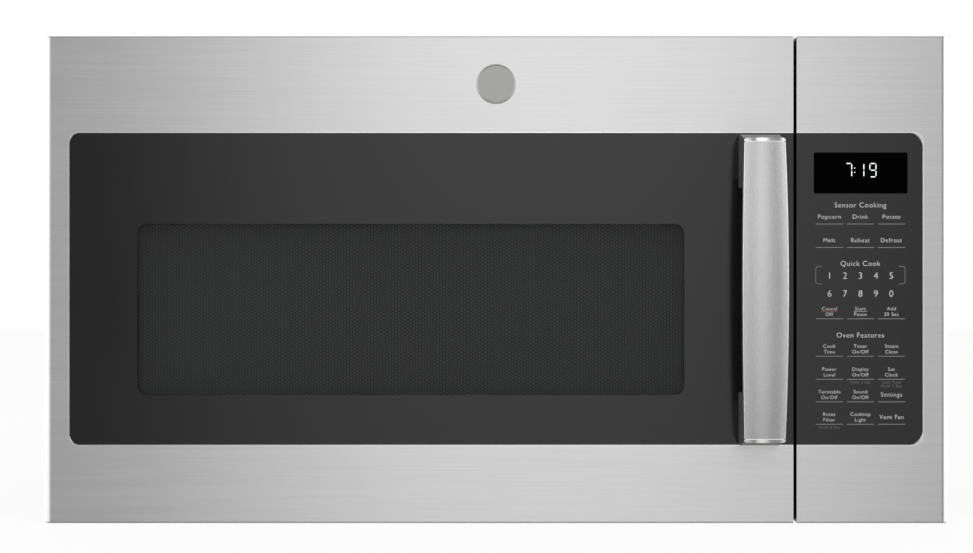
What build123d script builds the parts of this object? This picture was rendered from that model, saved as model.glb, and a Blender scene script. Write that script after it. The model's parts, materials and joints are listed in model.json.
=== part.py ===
from build123d import *
import math
import os

# Over-the-range microwave oven, in millimetres.
# The origin is the centre of the casing's underside. +X is to the right of a person who
# faces the door, -Y is the front and +Z is up. "Depth" inside the front assembly is
# counted backwards from the outer face of the door.

# --- casing ---------------------------------------------------------------------------
CASE_WIDTH = 759.0          # outside, side to side
CASE_HEIGHT = 410.0         # underside to top sheet
CASE_DEPTH = 357.0          # front frame to rear panel
SHEET = 1.0                 # casing and cavity sheet steel
BEND_R = 3.0                # outer radius of the folded casing edges
FLANGE = 12.0               # folded edges of base, rear and front sheets
SEAT_GAP = 0.3              # between pieces that touch in use
WALL_PLATE_T = 3.0          # wall mounting plate
WALL_PLATE_INSET = 14.0     # plate edge inside the casing edge
STUD_SPACING = 406.4        # wall plate holes, one pair of studs 16 in apart
STUD_HOLE_R = 4.0
STUD_ROW_SPACING = 230.0    # upper row of lag holes to lower row
TOP_BOLT_SPACING = 610.0    # bolts that come down through the cabinet floor
TOP_BOLT_R = 3.3
TOP_BOLT_Y = -60.0
BACK_FLANGE = 13.0          # wrap's edges folded in behind the rear panel
SCREW_R = 1.9               # sheet-metal screws
SCREW_HEAD_R = 3.8
SCREW_HEAD_T = 1.8
SCREW_FROM_SIDE = 7.0
SCREW_FROM_END = 60.0       # lower and upper rear screws from the casing's ends
SCREW_LENGTH = 8.0

# --- front assembly -------------------------------------------------------------------
FRONT_INSET = 1.0           # front's top and bottom edges inside the casing's
FRONT_DEPTH = 36.0          # door and control panel, front to back
DOOR_CLEAR = 1.0            # door back to front frame
PANEL_WIDTH = 127.7         # control panel
SPLIT_GAP = 2.7             # between door and control panel
SKIN = 0.8                  # stainless front skin
DOOR_EDGE_R = 6.5           # rolled left edge of the door
PANEL_EDGE_R = 6.0          # rolled right edge of the control panel
FOLD_R = 1.4                # top and bottom folds of the skins
SIDE_BAND = 21.8            # steel left and right of the glass
TOP_BAND = 80.8             # steel above the glass
BOTTOM_BAND = 65.3          # steel below the glass
GLASS_T = 3.2
GLASS_RECESS = 0.4          # glass face behind the steel face
GLASS_EDGE_GAP = 0.3
GLASS_R_DOOR = 10.0         # corners of the cut-out at the door's left
GLASS_R_PANEL = 13.5        # corners of the cut-out at the panel's right
CUTOUT_BEVEL = 0.5
MOULD_T = 2.0               # walls of the plastic frames

# --- door window and choke ------------------------------------------------------------
WINDOW_FROM_SIDE = 41.0     # window's side edges inside the cavity's side walls
WINDOW_BELOW_TOP = 157.4    # window's top edge below the top of the front
WINDOW_ABOVE_BASE = 107.6   # window's bottom edge above the bottom of the front
SCREEN_T = 0.8
SCREEN_MARGIN = 6.0         # raised screen beyond the clear window
SCREEN_BEHIND_GLASS = 1.0
CHOKE_DEPTH_FRONT = 12.0    # choke channel floor, behind the door's face
CHOKE_DEPTH_BACK = 33.7
CHOKE_WIDTH = 20.0
CHOKE_INSET = 4.0           # channel's inner side inside the cavity mouth
CHOKE_SLOT = 3.0
CHOKE_PITCH = 19.0
CHOKE_SLOT_DEPTH = 12.0
COVER_T = 2.0               # plastic cover on the back of the door
INNER_WINDOW_T = 1.4
INNER_LEDGE = 14.0          # cover laps over the inner window

# --- oven cavity ----------------------------------------------------------------------
BAY_WIDTH = 181.0           # cavity's right wall from the casing's right side
ROOF_SPACE = 102.0          # cavity ceiling below the top of the casing
CAVITY_DEPTH = 348.0
CAVITY_FLOOR = 50.0         # floor above the underside of the casing
CAVITY_LEFT = 38.0          # cavity side wall from the casing's left side
CAVITY_R = 6.0
MOUTH_FLANGE = 8.0

# --- handle ---------------------------------------------------------------------------
HANDLE_INSET = 9.55         # bar's ends inside the glass's top and bottom edges
HANDLE_CAP_T = 2.6
HANDLE_CAP_R = 2.2          # caps' outer corners, seen from the front
HANDLE_SEAM = 0.6           # groove between the bar and a cap
HANDLE_SEAM_DEPTH = 1.0
HANDLE_WIDTH_END = 33.8
HANDLE_WIDTH_MID = 37.8
HANDLE_T = 11.0             # bar, front to back
HANDLE_STAND_END = 45.0     # outermost face in front of the glass at the ends
HANDLE_STAND_MID = 50.0
HANDLE_CROWN = 2.4          # swell of the bar's face over its width
HANDLE_EDGE_R = 1.0
HANDLE_FROM_SPLIT = 29.5    # bar centre from the door's right edge
HANDLE_RISE = -0.9          # bar centre above the glass centre
POST_LENGTH = 44.0          # handle posts along the bar, at the glass
POST_OVERHANG = 5.0         # foot of a post beyond the end cap
POST_CHAMFER = 9.0
POST_FOOT_T = 8.0           # straight foot of a post before it leans in
POST_TOE_T = 12.0           # the same at the chamfered side
POST_INSET = 0.6            # post's sides inside the bar's
POST_GAP = 0.05             # bar's back to the post
HANDLE_STATIONS = 7
HANDLE_SCREW_R = 2.5
HANDLE_SCREW_TIP = 6.0      # screw hole's end behind the bar's face
HANDLE_HEAD_R = 4.5
HANDLE_HEAD_T = 2.5

# --- hinge and latch ------------------------------------------------------------------
HINGE_FROM_SIDE = 9.0       # pin axis from the casing's left side
HINGE_FROM_FRAME = 10.5     # pin axis in front of the front frame
HINGE_PIN_R = 3.5
PIN_CLEAR = 0.05
HINGE_PLATE_T = 2.0
HINGE_TONGUE_R = 6.0
HINGE_PLATE_H = 19.0        # plate behind the front frame, up and down
HINGE_SCREW_SPREAD = 13.0
HINGE_SCREW_OUT = 1.0       # screws beside the pin axis
HINGE_PLATE_X0 = -5.5       # plate's sides from the pin axis
HINGE_PLATE_X1 = 16.0
HINGE_SCREW_LENGTH = 7.0
HINGE_HEAD_T = 0.7          # low heads that the door swings past
HINGE_FROM_END = 12.0       # middle of a tongue from the end of the door
BUSH_T = 1.5
BUSH_FLANGE_T = 0.5
HINGE_SHELF_T = 7.0
LATCH_TRAVEL = 4.0
LATCH_X_FROM_SPLIT = 14.1   # hook centre from the door's right edge
LATCH_SPREAD = 140.0        # upper hook above the lower one
LATCH_ARM_W = 7.0
LATCH_ARM_H = 12.0
LATCH_NOSE = 2.6            # nose below the arm
LATCH_REACH = 16.0          # hook tip behind the front frame's face
LATCH_SLIDER_W = 12.0
LATCH_SLIDER_T = 3.0
LATCH_RISE = 2.0            # middle of the latch above the middle of the front

# --- turntable ------------------------------------------------------------------------
TRAY_R = 165.0
TRAY_T = 4.5
TRAY_RIM_H = 10.0
ROLLER_R = 8.0
ROLLER_T = 6.0
ROLLER_TRACK_R = 105.0
ROLLER_COUNT = 3
AXLE_R = 2.0
AXLE_CLEAR = 0.1
RING_SECTION = 5.0
COUPLER_R = 14.0
COUPLER_LOBES = 3
COUPLER_SHAFT_R = 3.5
SHAFT_CLEAR = 0.05
TURNTABLE_MOTOR_R = 25.0
TURNTABLE_MOTOR_H = 19.0

# --- vent blower ----------------------------------------------------------------------
BLOWER_Y = 105.0            # blower axis behind the middle of the casing
BLOWER_Z_BELOW_TOP = 52.0
WHEEL_R = 34.0
WHEEL_LENGTH = 62.0
WHEEL_BLADES = 30
WHEEL_BLADE_DEPTH = 6.0
WHEEL_BLADE_T = 0.8
WHEEL_CENTRE_X = 75.0       # wheels left and right of the motor
SCROLL_WALL = 1.2
SCROLL_CLEAR = 3.0          # wheel to scroll at the cut-off
SCROLL_GROWTH = 13.0        # scroll radius gained from the cut-off to the throat
SCROLL_SIDE_GAP = 3.0
BLOWER_SHAFT_R = 4.0
BLOWER_MOTOR_R = 30.0
BLOWER_MOTOR_LENGTH = 62.0
EXHAUST_WIDTH = 254.0       # standard 10 x 3 1/4 in duct
EXHAUST_DEPTH = 82.6
EXHAUST_Y = 115.0
EXHAUST_RISE = 4.5
EXHAUST_FOOT = 12.0         # collar's flange on the top sheet
CORD_FROM_SIDE = 60.0
CORD_FROM_REAR = 70.0
CORD_HOLE_R = 14.0
CORD_BORE_R = 6.0
BUSHING_T = 1.5
BUSHING_LAP = 3.0
BUSHING_DEPTH = 6.0

# --- top grille, filters and lamps ----------------------------------------------------
GRILLE_WIDTH = 640.0
GRILLE_DEPTH = 42.0
GRILLE_FROM_FRONT = 14.0
GRILLE_PITCH = 16.0
GRILLE_BAR = 3.0
GRILLE_H = 6.0
CHARCOAL_WIDTH = 300.0
CHARCOAL_H = 12.0
FILTER_WIDTH = 290.0
FILTER_DEPTH = 127.0
FILTER_T = 8.0
FILTER_X = 190.0            # filter centres left and right of the middle
FILTER_Y = 60.0
FILTER_CLEAR = 0.5
FILTER_LEDGE = 3.0
FILTER_COLLAR = 4.0         # collar above a filter
AIR_SLOT_LENGTH = 36.0      # slots in the base, by the front
AIR_SLOT_W = 4.0
AIR_SLOT_PITCH = 9.0
AIR_SLOTS = 11
AIR_ROW_PITCH = 46.0
AIR_ROWS_FROM_FRONT = 60.0
AIR_FROM_SIDE = 74.0
LAMP_X = 190.0
LAMP_Y = -95.0
LAMP_LENS_W = 90.0
LAMP_LENS_D = 52.0
LAMP_LENS_T = 3.0

# --- electrics in the right-hand bay --------------------------------------------------
GUIDE_DEPTH = 38.0          # waveguide, away from the cavity wall
GUIDE_WIDTH = 90.0
GUIDE_HEIGHT = 150.0
GUIDE_Y = -10.0
GUIDE_TOP_BELOW_CEILING = 6.0
GUIDE_PORT_H = 44.0
GUIDE_PORT_W = 78.0
MICA_T = 0.8
MICA_LAP = 4.0
MAGNETRON_W = 78.0          # along Y
MAGNETRON_H = 62.0
MAGNETRON_LENGTH = 92.0     # away from the waveguide
MAGNETRON_FINS = 6
BAY_FLOOR = 31.0            # raised floor under the electrics
BAY_FRONT = -60.0           # its front edge
BAY_FLOOR_GAP = 6.0         # its left edge from the cavity wall
TRANSFORMER_FROM_SIDE = 79.5
TRANSFORMER_Y = 115.0
TRANSFORMER_W = 104.0
TRANSFORMER_D = 72.0
TRANSFORMER_H = 86.0
CAPACITOR_R = 17.0
CAPACITOR_STRETCH = 18.0
CAPACITOR_LENGTH = 80.0
FAN_FROM_SIDE = 74.5        # fan axis from the casing's right side
FAN_Y = 66.0
FAN_Z = 225.0
FAN_R = 50.0
FAN_BLADES = 5
FAN_HUB_R = 13.0
FAN_DEPTH = 18.0
FAN_SHAFT_R = 2.5
BOARD_T = 1.6
DISPLAY_WIDTH = 78.6
DISPLAY_HEIGHT = 34.4
DISPLAY_BELOW_TOP = 97.5    # display's top edge below the top of the front
DISPLAY_FROM_SPLIT = 14.4   # display's left edge from the panel's left edge

# --- places worked out from the sizes above -------------------------------------------
HALF = CASE_WIDTH / 2
FRAME_Y = -CASE_DEPTH / 2
REAR_Y = CASE_DEPTH / 2
BACK_Y = FRAME_Y - DOOR_CLEAR
FACE_Y = BACK_Y - FRONT_DEPTH
FRONT_Z0 = FRONT_INSET
FRONT_Z1 = CASE_HEIGHT - FRONT_INSET
DOOR_X0 = -HALF
PANEL_X0 = HALF - PANEL_WIDTH
DOOR_X1 = PANEL_X0 - SPLIT_GAP
GLASS_Y = FACE_Y + GLASS_RECESS
GLASS_BACK_Y = GLASS_Y + GLASS_T
GLASS_Z0 = FRONT_Z0 + BOTTOM_BAND
GLASS_Z1 = FRONT_Z1 - TOP_BAND
GLASS_MID_Z = (GLASS_Z0 + GLASS_Z1) / 2
CAVITY_X0 = -HALF + CAVITY_LEFT
CAVITY_X1 = HALF - BAY_WIDTH
CAVITY_X = (CAVITY_X0 + CAVITY_X1) / 2
CAVITY_Y0 = FRAME_Y + SHEET
CAVITY_Y1 = CAVITY_Y0 + CAVITY_DEPTH
CAVITY_Y = (CAVITY_Y0 + CAVITY_Y1) / 2
CEILING = CASE_HEIGHT - ROOF_SPACE
WINDOW_Z1 = FRONT_Z1 - WINDOW_BELOW_TOP
WINDOW_Z0 = FRONT_Z0 + WINDOW_ABOVE_BASE
WINDOW_X0 = CAVITY_X0 + WINDOW_FROM_SIDE
WINDOW_X1 = CAVITY_X1 - WINDOW_FROM_SIDE
HINGE_X = -HALF + HINGE_FROM_SIDE
HINGE_Y = FRAME_Y - HINGE_FROM_FRAME
HANDLE_X = DOOR_X1 - HANDLE_FROM_SPLIT
HANDLE_Z = GLASS_MID_Z + HANDLE_RISE
HANDLE_LENGTH = GLASS_Z1 - GLASS_Z0 - 2 * HANDLE_INSET
HANDLE_END = HANDLE_LENGTH / 2 + HANDLE_SEAM + HANDLE_CAP_T
TRANSFORMER_X = HALF - TRANSFORMER_FROM_SIDE
FAN_X = HALF - FAN_FROM_SIDE
LATCH_X = DOOR_X1 - LATCH_X_FROM_SPLIT
LATCH_Z = (FRONT_Z0 + FRONT_Z1) / 2 + LATCH_RISE
LATCH_ARM_ZS = [LATCH_Z - LATCH_SPREAD / 2, LATCH_Z + LATCH_SPREAD / 2]
CHOKE_X0 = CAVITY_X0 + CHOKE_INSET - CHOKE_WIDTH
CHOKE_X1 = CAVITY_X1 - CHOKE_INSET + CHOKE_WIDTH
CHOKE_Z0 = CAVITY_FLOOR + CHOKE_INSET - CHOKE_WIDTH
CHOKE_Z1 = CEILING - CHOKE_INSET + CHOKE_WIDTH
BLOWER_Z = CASE_HEIGHT - BLOWER_Z_BELOW_TOP
ROLLER_Z = CAVITY_FLOOR + SEAT_GAP + ROLLER_R
TRAY_Z = ROLLER_Z + ROLLER_R + SEAT_GAP

# --- helpers --------------------------------------------------------------------------
CUT = 1.0                   # how far a cutting solid reaches past what it cuts
AROUND = {"X": Rot(0, 90, 0), "Y": Rot(-90, 0, 0), "Z": Rot(0, 0, 0)}


def block(x0, x1, y0, y1, z0, z1):
    """Box between two corners."""
    middle = Pos((x0 + x1) / 2, (y0 + y1) / 2, (z0 + z1) / 2)
    return middle * Box(x1 - x0, y1 - y0, z1 - z0)


def rod(radius, start, length, along="Z"):
    """Round bar from a start point along one axis."""
    base = (Align.CENTER, Align.CENTER, Align.MIN)
    return Pos(*start) * AROUND[along] * Cylinder(radius, length, align=base)


def slab_xz(x0, x1, z0, z1, radius, y0, y1):
    """Upright slab with rounded corners, seen from the front."""
    front = Plane(origin=(0, y0, 0), x_dir=(1, 0, 0), z_dir=(0, -1, 0))
    place = Pos((x0 + x1) / 2, (z0 + z1) / 2)
    outline = front * place * RectangleRounded(x1 - x0, z1 - z0, radius)
    return extrude(outline, amount=y1 - y0, dir=(0, 1, 0))


def slab_xy(x0, x1, y0, y1, radius, z0, z1):
    """Lying slab with rounded corners, seen from above."""
    place = Pos((x0 + x1) / 2, (y0 + y1) / 2, z0)
    return extrude(place * RectangleRounded(x1 - x0, y1 - y0, radius), amount=z1 - z0)


def along_edges(solid, axis):
    """Straight edges of a solid that run along an axis."""
    return solid.edges().filter_by(axis)


def join(pieces):
    """Separate solids that share one node."""
    return Compound(children=[solid for piece in pieces for solid in piece.solids()])


# --- casing ---------------------------------------------------------------------------
def rear_screw_places():
    """Rear case screws in the strip beside the wall plate."""
    return [(side * (HALF - SCREW_FROM_SIDE), z) for side in (-1, 1)
            for z in (SCREW_FROM_END, CASE_HEIGHT / 2, CASE_HEIGHT - SCREW_FROM_END)]


def tongue_zs():
    """Middle heights of the lower and upper hinge tongues."""
    return [FRONT_Z0 + HINGE_FROM_END, FRONT_Z1 - HINGE_FROM_END]


def hinge_screw_places():
    """Two screws through the front frame into each hinge bracket."""
    return [(HINGE_X + HINGE_SCREW_OUT, z + end * HINGE_SCREW_SPREAD / 2) for z in tongue_zs()
            for end in (-1, 1)]


def exhaust_box(grow, z0, z1):
    """Block in the place of the exhaust opening."""
    return block(-EXHAUST_WIDTH / 2 - grow, EXHAUST_WIDTH / 2 + grow,
                 EXHAUST_Y - EXHAUST_DEPTH / 2 - grow, EXHAUST_Y + EXHAUST_DEPTH / 2 + grow,
                 z0, z1)


GRILLE_Y0 = FRAME_Y + GRILLE_FROM_FRONT
GRILLE_Y1 = GRILLE_Y0 + GRILLE_DEPTH
CORD_X = HALF - CORD_FROM_SIDE
CORD_Y = REAR_Y - CORD_FROM_REAR


def outer_wrap():
    """Top and sides of the casing, one folded sheet."""
    outer = block(-HALF, HALF, FRAME_Y, REAR_Y, 0, CASE_HEIGHT)
    top_edges = along_edges(outer, Axis.Y).group_by(Axis.Z)[-1]
    outer = fillet(top_edges, BEND_R)
    inner = block(-HALF + SHEET, HALF - SHEET, FRAME_Y - CUT, REAR_Y + CUT, -CUT,
                  CASE_HEIGHT - SHEET)
    inner = fillet(along_edges(inner, Axis.Y).group_by(Axis.Z)[-1], BEND_R - SHEET)
    wrap = outer - inner
    top_z0 = CASE_HEIGHT - SHEET - CUT
    top_z1 = CASE_HEIGHT + CUT
    wrap -= exhaust_box(0, top_z0, top_z1)
    wrap -= block(-GRILLE_WIDTH / 2, GRILLE_WIDTH / 2, GRILLE_Y0, GRILLE_Y1, top_z0, top_z1)
    wrap -= rod(CORD_HOLE_R, (CORD_X, CORD_Y, top_z0), top_z1 - top_z0)
    for side in (-1, 1):
        at = (side * TOP_BOLT_SPACING / 2, TOP_BOLT_Y, top_z0)
        wrap -= rod(TOP_BOLT_R, at, top_z1 - top_z0)
        edge = side * (HALF - SHEET - BACK_FLANGE / 2)
        wrap += block(edge - BACK_FLANGE / 2, edge + BACK_FLANGE / 2, REAR_Y - 2 * SHEET,
                      REAR_Y - SHEET, FLANGE, CASE_HEIGHT - BEND_R)
    for x, z in rear_screw_places():
        wrap -= rod(SCREW_R, (x, REAR_Y - 2 * SHEET - CUT, z), SHEET + 2 * CUT, "Y")
    return wrap


def filter_opening(side, z0, z1):
    """Space for one grease filter in the base."""
    width = FILTER_WIDTH / 2 + FILTER_CLEAR
    depth = FILTER_DEPTH / 2 + FILTER_CLEAR
    x = side * FILTER_X
    return block(x - width, x + width, FILTER_Y - depth, FILTER_Y + depth, z0, z1)


def bay_floor():
    """Raised floor of the electrics bay, which keeps the filtered air's way free."""
    x0 = CAVITY_X1 + BAY_FLOOR_GAP
    x1 = HALF - 2 * SHEET
    y0 = BAY_FRONT
    y1 = REAR_Y - 2 * SHEET
    floor = block(x0, x1, y0, y1, BAY_FLOOR - SHEET, BAY_FLOOR)
    floor += block(x1 - SHEET, x1, y0, y1, SHEET, BAY_FLOOR)
    floor += block(x0, x1, y1 - SHEET, y1, SHEET, BAY_FLOOR)
    front_y = FILTER_Y - FILTER_DEPTH / 2 - FILTER_LEDGE - 2 * FILTER_CLEAR
    return floor + block(x0, x0 + SHEET, y0, front_y, SHEET, BAY_FLOOR)


def base_plate():
    """Underside tray with the filter openings, lamp openings and air slots."""
    x = HALF - SHEET
    tray = block(-x, x, FRAME_Y, REAR_Y, 0, FLANGE)
    tray -= block(-x + SHEET, x - SHEET, FRAME_Y - CUT, REAR_Y - SHEET, SHEET, FLANGE + CUT)
    tray -= block(-x - CUT, x + CUT, FRAME_Y - CUT, FRAME_Y + FLANGE, SHEET, FLANGE + CUT)
    tray += bay_floor()
    ledge = FILTER_LEDGE + FILTER_CLEAR
    half_w = FILTER_WIDTH / 2 + ledge
    half_d = FILTER_DEPTH / 2 + ledge
    for side in (-1, 1):
        collar = block(side * FILTER_X - half_w, side * FILTER_X + half_w, FILTER_Y - half_d,
                       FILTER_Y + half_d, 0, FILTER_T + FILTER_COLLAR)
        tray += collar - filter_opening(side, -CUT, FILTER_T + FILTER_COLLAR + CUT)
        tray -= filter_opening(side, -CUT, FILTER_T)
        lens_w = LAMP_LENS_W / 2
        lens_d = LAMP_LENS_D / 2
        tray -= block(side * LAMP_X - lens_w, side * LAMP_X + lens_w,
                      LAMP_Y - lens_d, LAMP_Y + lens_d, -CUT, SHEET + CUT)
    slot = SlotOverall(AIR_SLOT_LENGTH, AIR_SLOT_W, rotation=90)
    for x_mid in (-HALF + AIR_FROM_SIDE, 0, HALF - AIR_FROM_SIDE):
        middle = Pos(x_mid, FRAME_Y + AIR_ROWS_FROM_FRONT, -CUT)
        slots = [middle * place * slot
                 for place in GridLocations(AIR_SLOT_PITCH, AIR_ROW_PITCH, AIR_SLOTS, 2)]
        tray -= extrude(Sketch() + slots, amount=SHEET + 2 * CUT)
    return tray


HOOK_X = 250.0
HOOK_W = 24.0
HOOK_Z = 36.0
HOOK_T = 2.0
HOOK_REACH = 6.0            # lip in front of the rear panel's outer face
HOOK_LIP_H = 9.0
HOOK_CLEAR = 2.0
PLATE_R = 8.0
PLATE_WINDOW_INSET = 40.0   # opening in the wall plate, inside its sides
PLATE_WINDOW_H = 140.0
WINDOW_R = 12.0
REAR_RIB_X = 230.0
REAR_RIB_W = 120.0
REAR_RIB_H = 180.0
REAR_RIB_DEPTH = 2.0
REAR_RIB_T = 2.0
REAR_SLOT_LENGTH = 44.0
REAR_SLOT_W = 5.0
REAR_SLOT_PITCH = 12.0
REAR_SLOTS = 11
REAR_SLOTS_BELOW_TOP = 90.0


def rear_rib(side):
    """Raised square bead that stiffens the rear panel."""
    x = side * REAR_RIB_X
    z = CASE_HEIGHT / 2
    w = REAR_RIB_W / 2
    h = REAR_RIB_H / 2
    y1 = REAR_Y - SHEET
    bead = slab_xz(x - w, x + w, z - h, z + h, WINDOW_R, y1 - REAR_RIB_DEPTH, y1)
    w -= REAR_RIB_T
    h -= REAR_RIB_T
    return bead - slab_xz(x - w, x + w, z - h, z + h, WINDOW_R - REAR_RIB_T,
                          y1 - REAR_RIB_DEPTH / 2, REAR_Y)


def rear_panel():
    """Back sheet with hook slots for the wall plate and an access opening."""
    x = HALF - SHEET
    sheet = block(-x, x, REAR_Y - SHEET, REAR_Y, FLANGE, CASE_HEIGHT - SHEET)
    y0 = REAR_Y - SHEET - CUT
    y1 = REAR_Y + CUT
    for side in (-1, 1):
        corner = side * (x - BEND_R / 2)
        sheet -= block(corner - BEND_R / 2, corner + BEND_R / 2, y0, y1,
                       CASE_HEIGHT - BEND_R, CASE_HEIGHT)
        hook = side * HOOK_X
        half = HOOK_W / 2 + HOOK_CLEAR
        sheet -= block(hook - half, hook + half, y0, y1, HOOK_Z - HOOK_CLEAR,
                       HOOK_Z + HOOK_LIP_H + SHEET)
        sheet += rear_rib(side)
    first = -(REAR_SLOTS - 1) / 2 * REAR_SLOT_PITCH
    slots = [Pos(first + REAR_SLOT_PITCH * i, CASE_HEIGHT - REAR_SLOTS_BELOW_TOP)
             * SlotOverall(REAR_SLOT_LENGTH, REAR_SLOT_W, rotation=90)
             for i in range(REAR_SLOTS)]
    face = Plane(origin=(0, y0, 0), x_dir=(1, 0, 0), z_dir=(0, -1, 0))
    sheet -= extrude(face * (Sketch() + slots), amount=y1 - y0, dir=(0, 1, 0))
    for x_hole, z_hole in rear_screw_places():
        sheet -= rod(SCREW_R, (x_hole, y0, z_hole), y1 - y0, "Y")
    return sheet


def wall_plate():
    """Mounting plate that is lagged to the studs; the casing hangs on its two hooks."""
    x = HALF - WALL_PLATE_INSET
    z0 = WALL_PLATE_INSET
    z1 = CASE_HEIGHT - WALL_PLATE_INSET
    y1 = REAR_Y + WALL_PLATE_T
    plate = slab_xz(-x, x, z0, z1, PLATE_R, REAR_Y, y1)
    mid_z = (z0 + z1) / 2
    x_window = x - PLATE_WINDOW_INSET
    plate -= slab_xz(-x_window, x_window, mid_z - PLATE_WINDOW_H / 2, mid_z + PLATE_WINDOW_H / 2,
                     WINDOW_R, REAR_Y - CUT, y1 + CUT)
    for side in (-1, 1):
        for end in (-1, 1):
            at = (side * STUD_SPACING / 2, REAR_Y - CUT, mid_z + end * STUD_ROW_SPACING / 2)
            plate -= rod(STUD_HOLE_R, at, WALL_PLATE_T + 2 * CUT, "Y")
        x0 = side * HOOK_X - HOOK_W / 2
        x1 = x0 + HOOK_W
        lip_y0 = REAR_Y - HOOK_REACH
        plate += block(x0, x1, lip_y0, REAR_Y + HOOK_T / 2, HOOK_Z, HOOK_Z + HOOK_T)
        plate += block(x0, x1, lip_y0, lip_y0 + HOOK_T, HOOK_Z, HOOK_Z + HOOK_LIP_H)
    return plate


def latch_slot(arm_z, y0, y1):
    """Opening that one latch hook passes through."""
    low = arm_z - LATCH_ARM_H / 2 - 0.5
    high = arm_z + LATCH_ARM_H / 2 + LATCH_TRAVEL + 1.5
    half = LATCH_ARM_W / 2 + 2
    return block(LATCH_X - half, LATCH_X + half, y0, y1, low, high)


TONGUE_CLEAR = 1.0          # slots round the hinge tongues
WIRE_WINDOW_INSET = 30.0    # opening behind the control panel, inside its sides
WIRE_WINDOW_FROM_BASE = 120.0
WIRE_WINDOW_FROM_TOP = 60.0


def front_frame():
    """Steel sheet round the cavity mouth, folded back along its edges."""
    x = HALF - SHEET
    z0 = SHEET
    z1 = CASE_HEIGHT - SHEET
    y0 = FRAME_Y - CUT
    y1 = FRAME_Y + SHEET + CUT
    frame = block(-x, x, FRAME_Y, FRAME_Y + FLANGE, z0, z1)
    frame -= block(-x + SHEET, x - SHEET, FRAME_Y + SHEET, FRAME_Y + FLANGE + CUT,
                   z0 - CUT, z1 - SHEET)
    for side in (-1, 1):
        corner = block(x - BEND_R, x + CUT, y0, FRAME_Y + FLANGE + CUT, z1 - BEND_R, z1 + CUT)
        frame -= corner if side > 0 else mirror(corner, Plane.YZ)
    frame -= slab_xz(CAVITY_X0, CAVITY_X1, CAVITY_FLOOR, CEILING, CAVITY_R, y0, y1)
    for arm_z in LATCH_ARM_ZS:
        frame -= latch_slot(arm_z, y0, y1)
    tongue = HINGE_TONGUE_R + TONGUE_CLEAR
    for z in tongue_zs():
        frame -= block(HINGE_X - tongue, HINGE_X + tongue, y0, y1, z - HINGE_PLATE_T,
                       z + HINGE_PLATE_T)
    frame -= block(PANEL_X0 + WIRE_WINDOW_INSET, HALF - WIRE_WINDOW_INSET, y0, y1,
                   FRONT_Z0 + WIRE_WINDOW_FROM_BASE, FRONT_Z1 - WIRE_WINDOW_FROM_TOP)
    for x_hole, z_hole in hinge_screw_places():
        frame -= rod(SCREW_R, (x_hole, y0, z_hole), y1 - y0, "Y")
    return frame


LAMP_PORT_FROM_FRONT = 90.0
LAMP_PORT_BELOW_CEILING = 53.0
PORT_BELOW_GUIDE_TOP = 4.0
LAMP_PORT_Y = FRAME_Y + LAMP_PORT_FROM_FRONT
LAMP_PORT_Z = CEILING - LAMP_PORT_BELOW_CEILING
LAMP_PORT_R = 15.0
GUIDE_Z1 = CEILING - GUIDE_TOP_BELOW_CEILING
GUIDE_Z0 = GUIDE_Z1 - GUIDE_HEIGHT
GUIDE_X0 = CAVITY_X1 + SHEET
GUIDE_X1 = GUIDE_X0 + GUIDE_DEPTH
PORT_Z1 = GUIDE_Z1 - PORT_BELOW_GUIDE_TOP
PORT_Z0 = PORT_Z1 - GUIDE_PORT_H
HUB_HOLE_R = 7.0
STEAM_SLOT_LENGTH = 28.0
STEAM_SLOT_W = 3.0
STEAM_SLOT_PITCH = 12.0
STEAM_SLOTS = 11
STEAM_SLOTS_BELOW_CEILING = 40.0


def guide_port(grow, x0, x1):
    """Block in the place of the waveguide's port in the cavity wall."""
    return block(x0, x1, GUIDE_Y - GUIDE_PORT_W / 2 - grow, GUIDE_Y + GUIDE_PORT_W / 2 + grow,
                 PORT_Z0 - grow, PORT_Z1 + grow)


def oven_cavity():
    """Welded cooking box with its mouth flange, air slots and turntable recess."""
    y1 = CAVITY_Y1 + SHEET
    outer = slab_xz(CAVITY_X0 - SHEET, CAVITY_X1 + SHEET, CAVITY_FLOOR - SHEET, CEILING + SHEET,
                    CAVITY_R + SHEET, CAVITY_Y0, y1)
    mouth = slab_xz(CAVITY_X0 - MOUTH_FLANGE, CAVITY_X1 + MOUTH_FLANGE,
                    CAVITY_FLOOR - MOUTH_FLANGE, CEILING + MOUTH_FLANGE, CAVITY_R + MOUTH_FLANGE,
                    CAVITY_Y0, CAVITY_Y0 + SHEET)
    hollow = slab_xz(CAVITY_X0, CAVITY_X1, CAVITY_FLOOR, CEILING, CAVITY_R,
                     CAVITY_Y0 - CUT, CAVITY_Y1)
    box = outer + mouth - hollow
    through = SHEET + 2 * CUT
    box -= guide_port(0, CAVITY_X1 - CUT, CAVITY_X1 + SHEET + CUT)
    box -= rod(LAMP_PORT_R, (CAVITY_X1 - CUT, LAMP_PORT_Y, LAMP_PORT_Z), through, "X")
    box -= rod(HUB_HOLE_R, (CAVITY_X, CAVITY_Y, CAVITY_FLOOR - SHEET - CUT), through)
    side = Plane(origin=(CAVITY_X0 - SHEET - CUT, 0, 0), x_dir=(0, 1, 0), z_dir=(1, 0, 0))
    first = CAVITY_Y - (STEAM_SLOTS - 1) / 2 * STEAM_SLOT_PITCH
    slots = [Pos(first + STEAM_SLOT_PITCH * i, CEILING - STEAM_SLOTS_BELOW_CEILING)
             * SlotOverall(STEAM_SLOT_LENGTH, STEAM_SLOT_W, rotation=90)
             for i in range(STEAM_SLOTS)]
    box -= extrude(side * (Sketch() + slots), amount=through)
    return box


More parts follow.
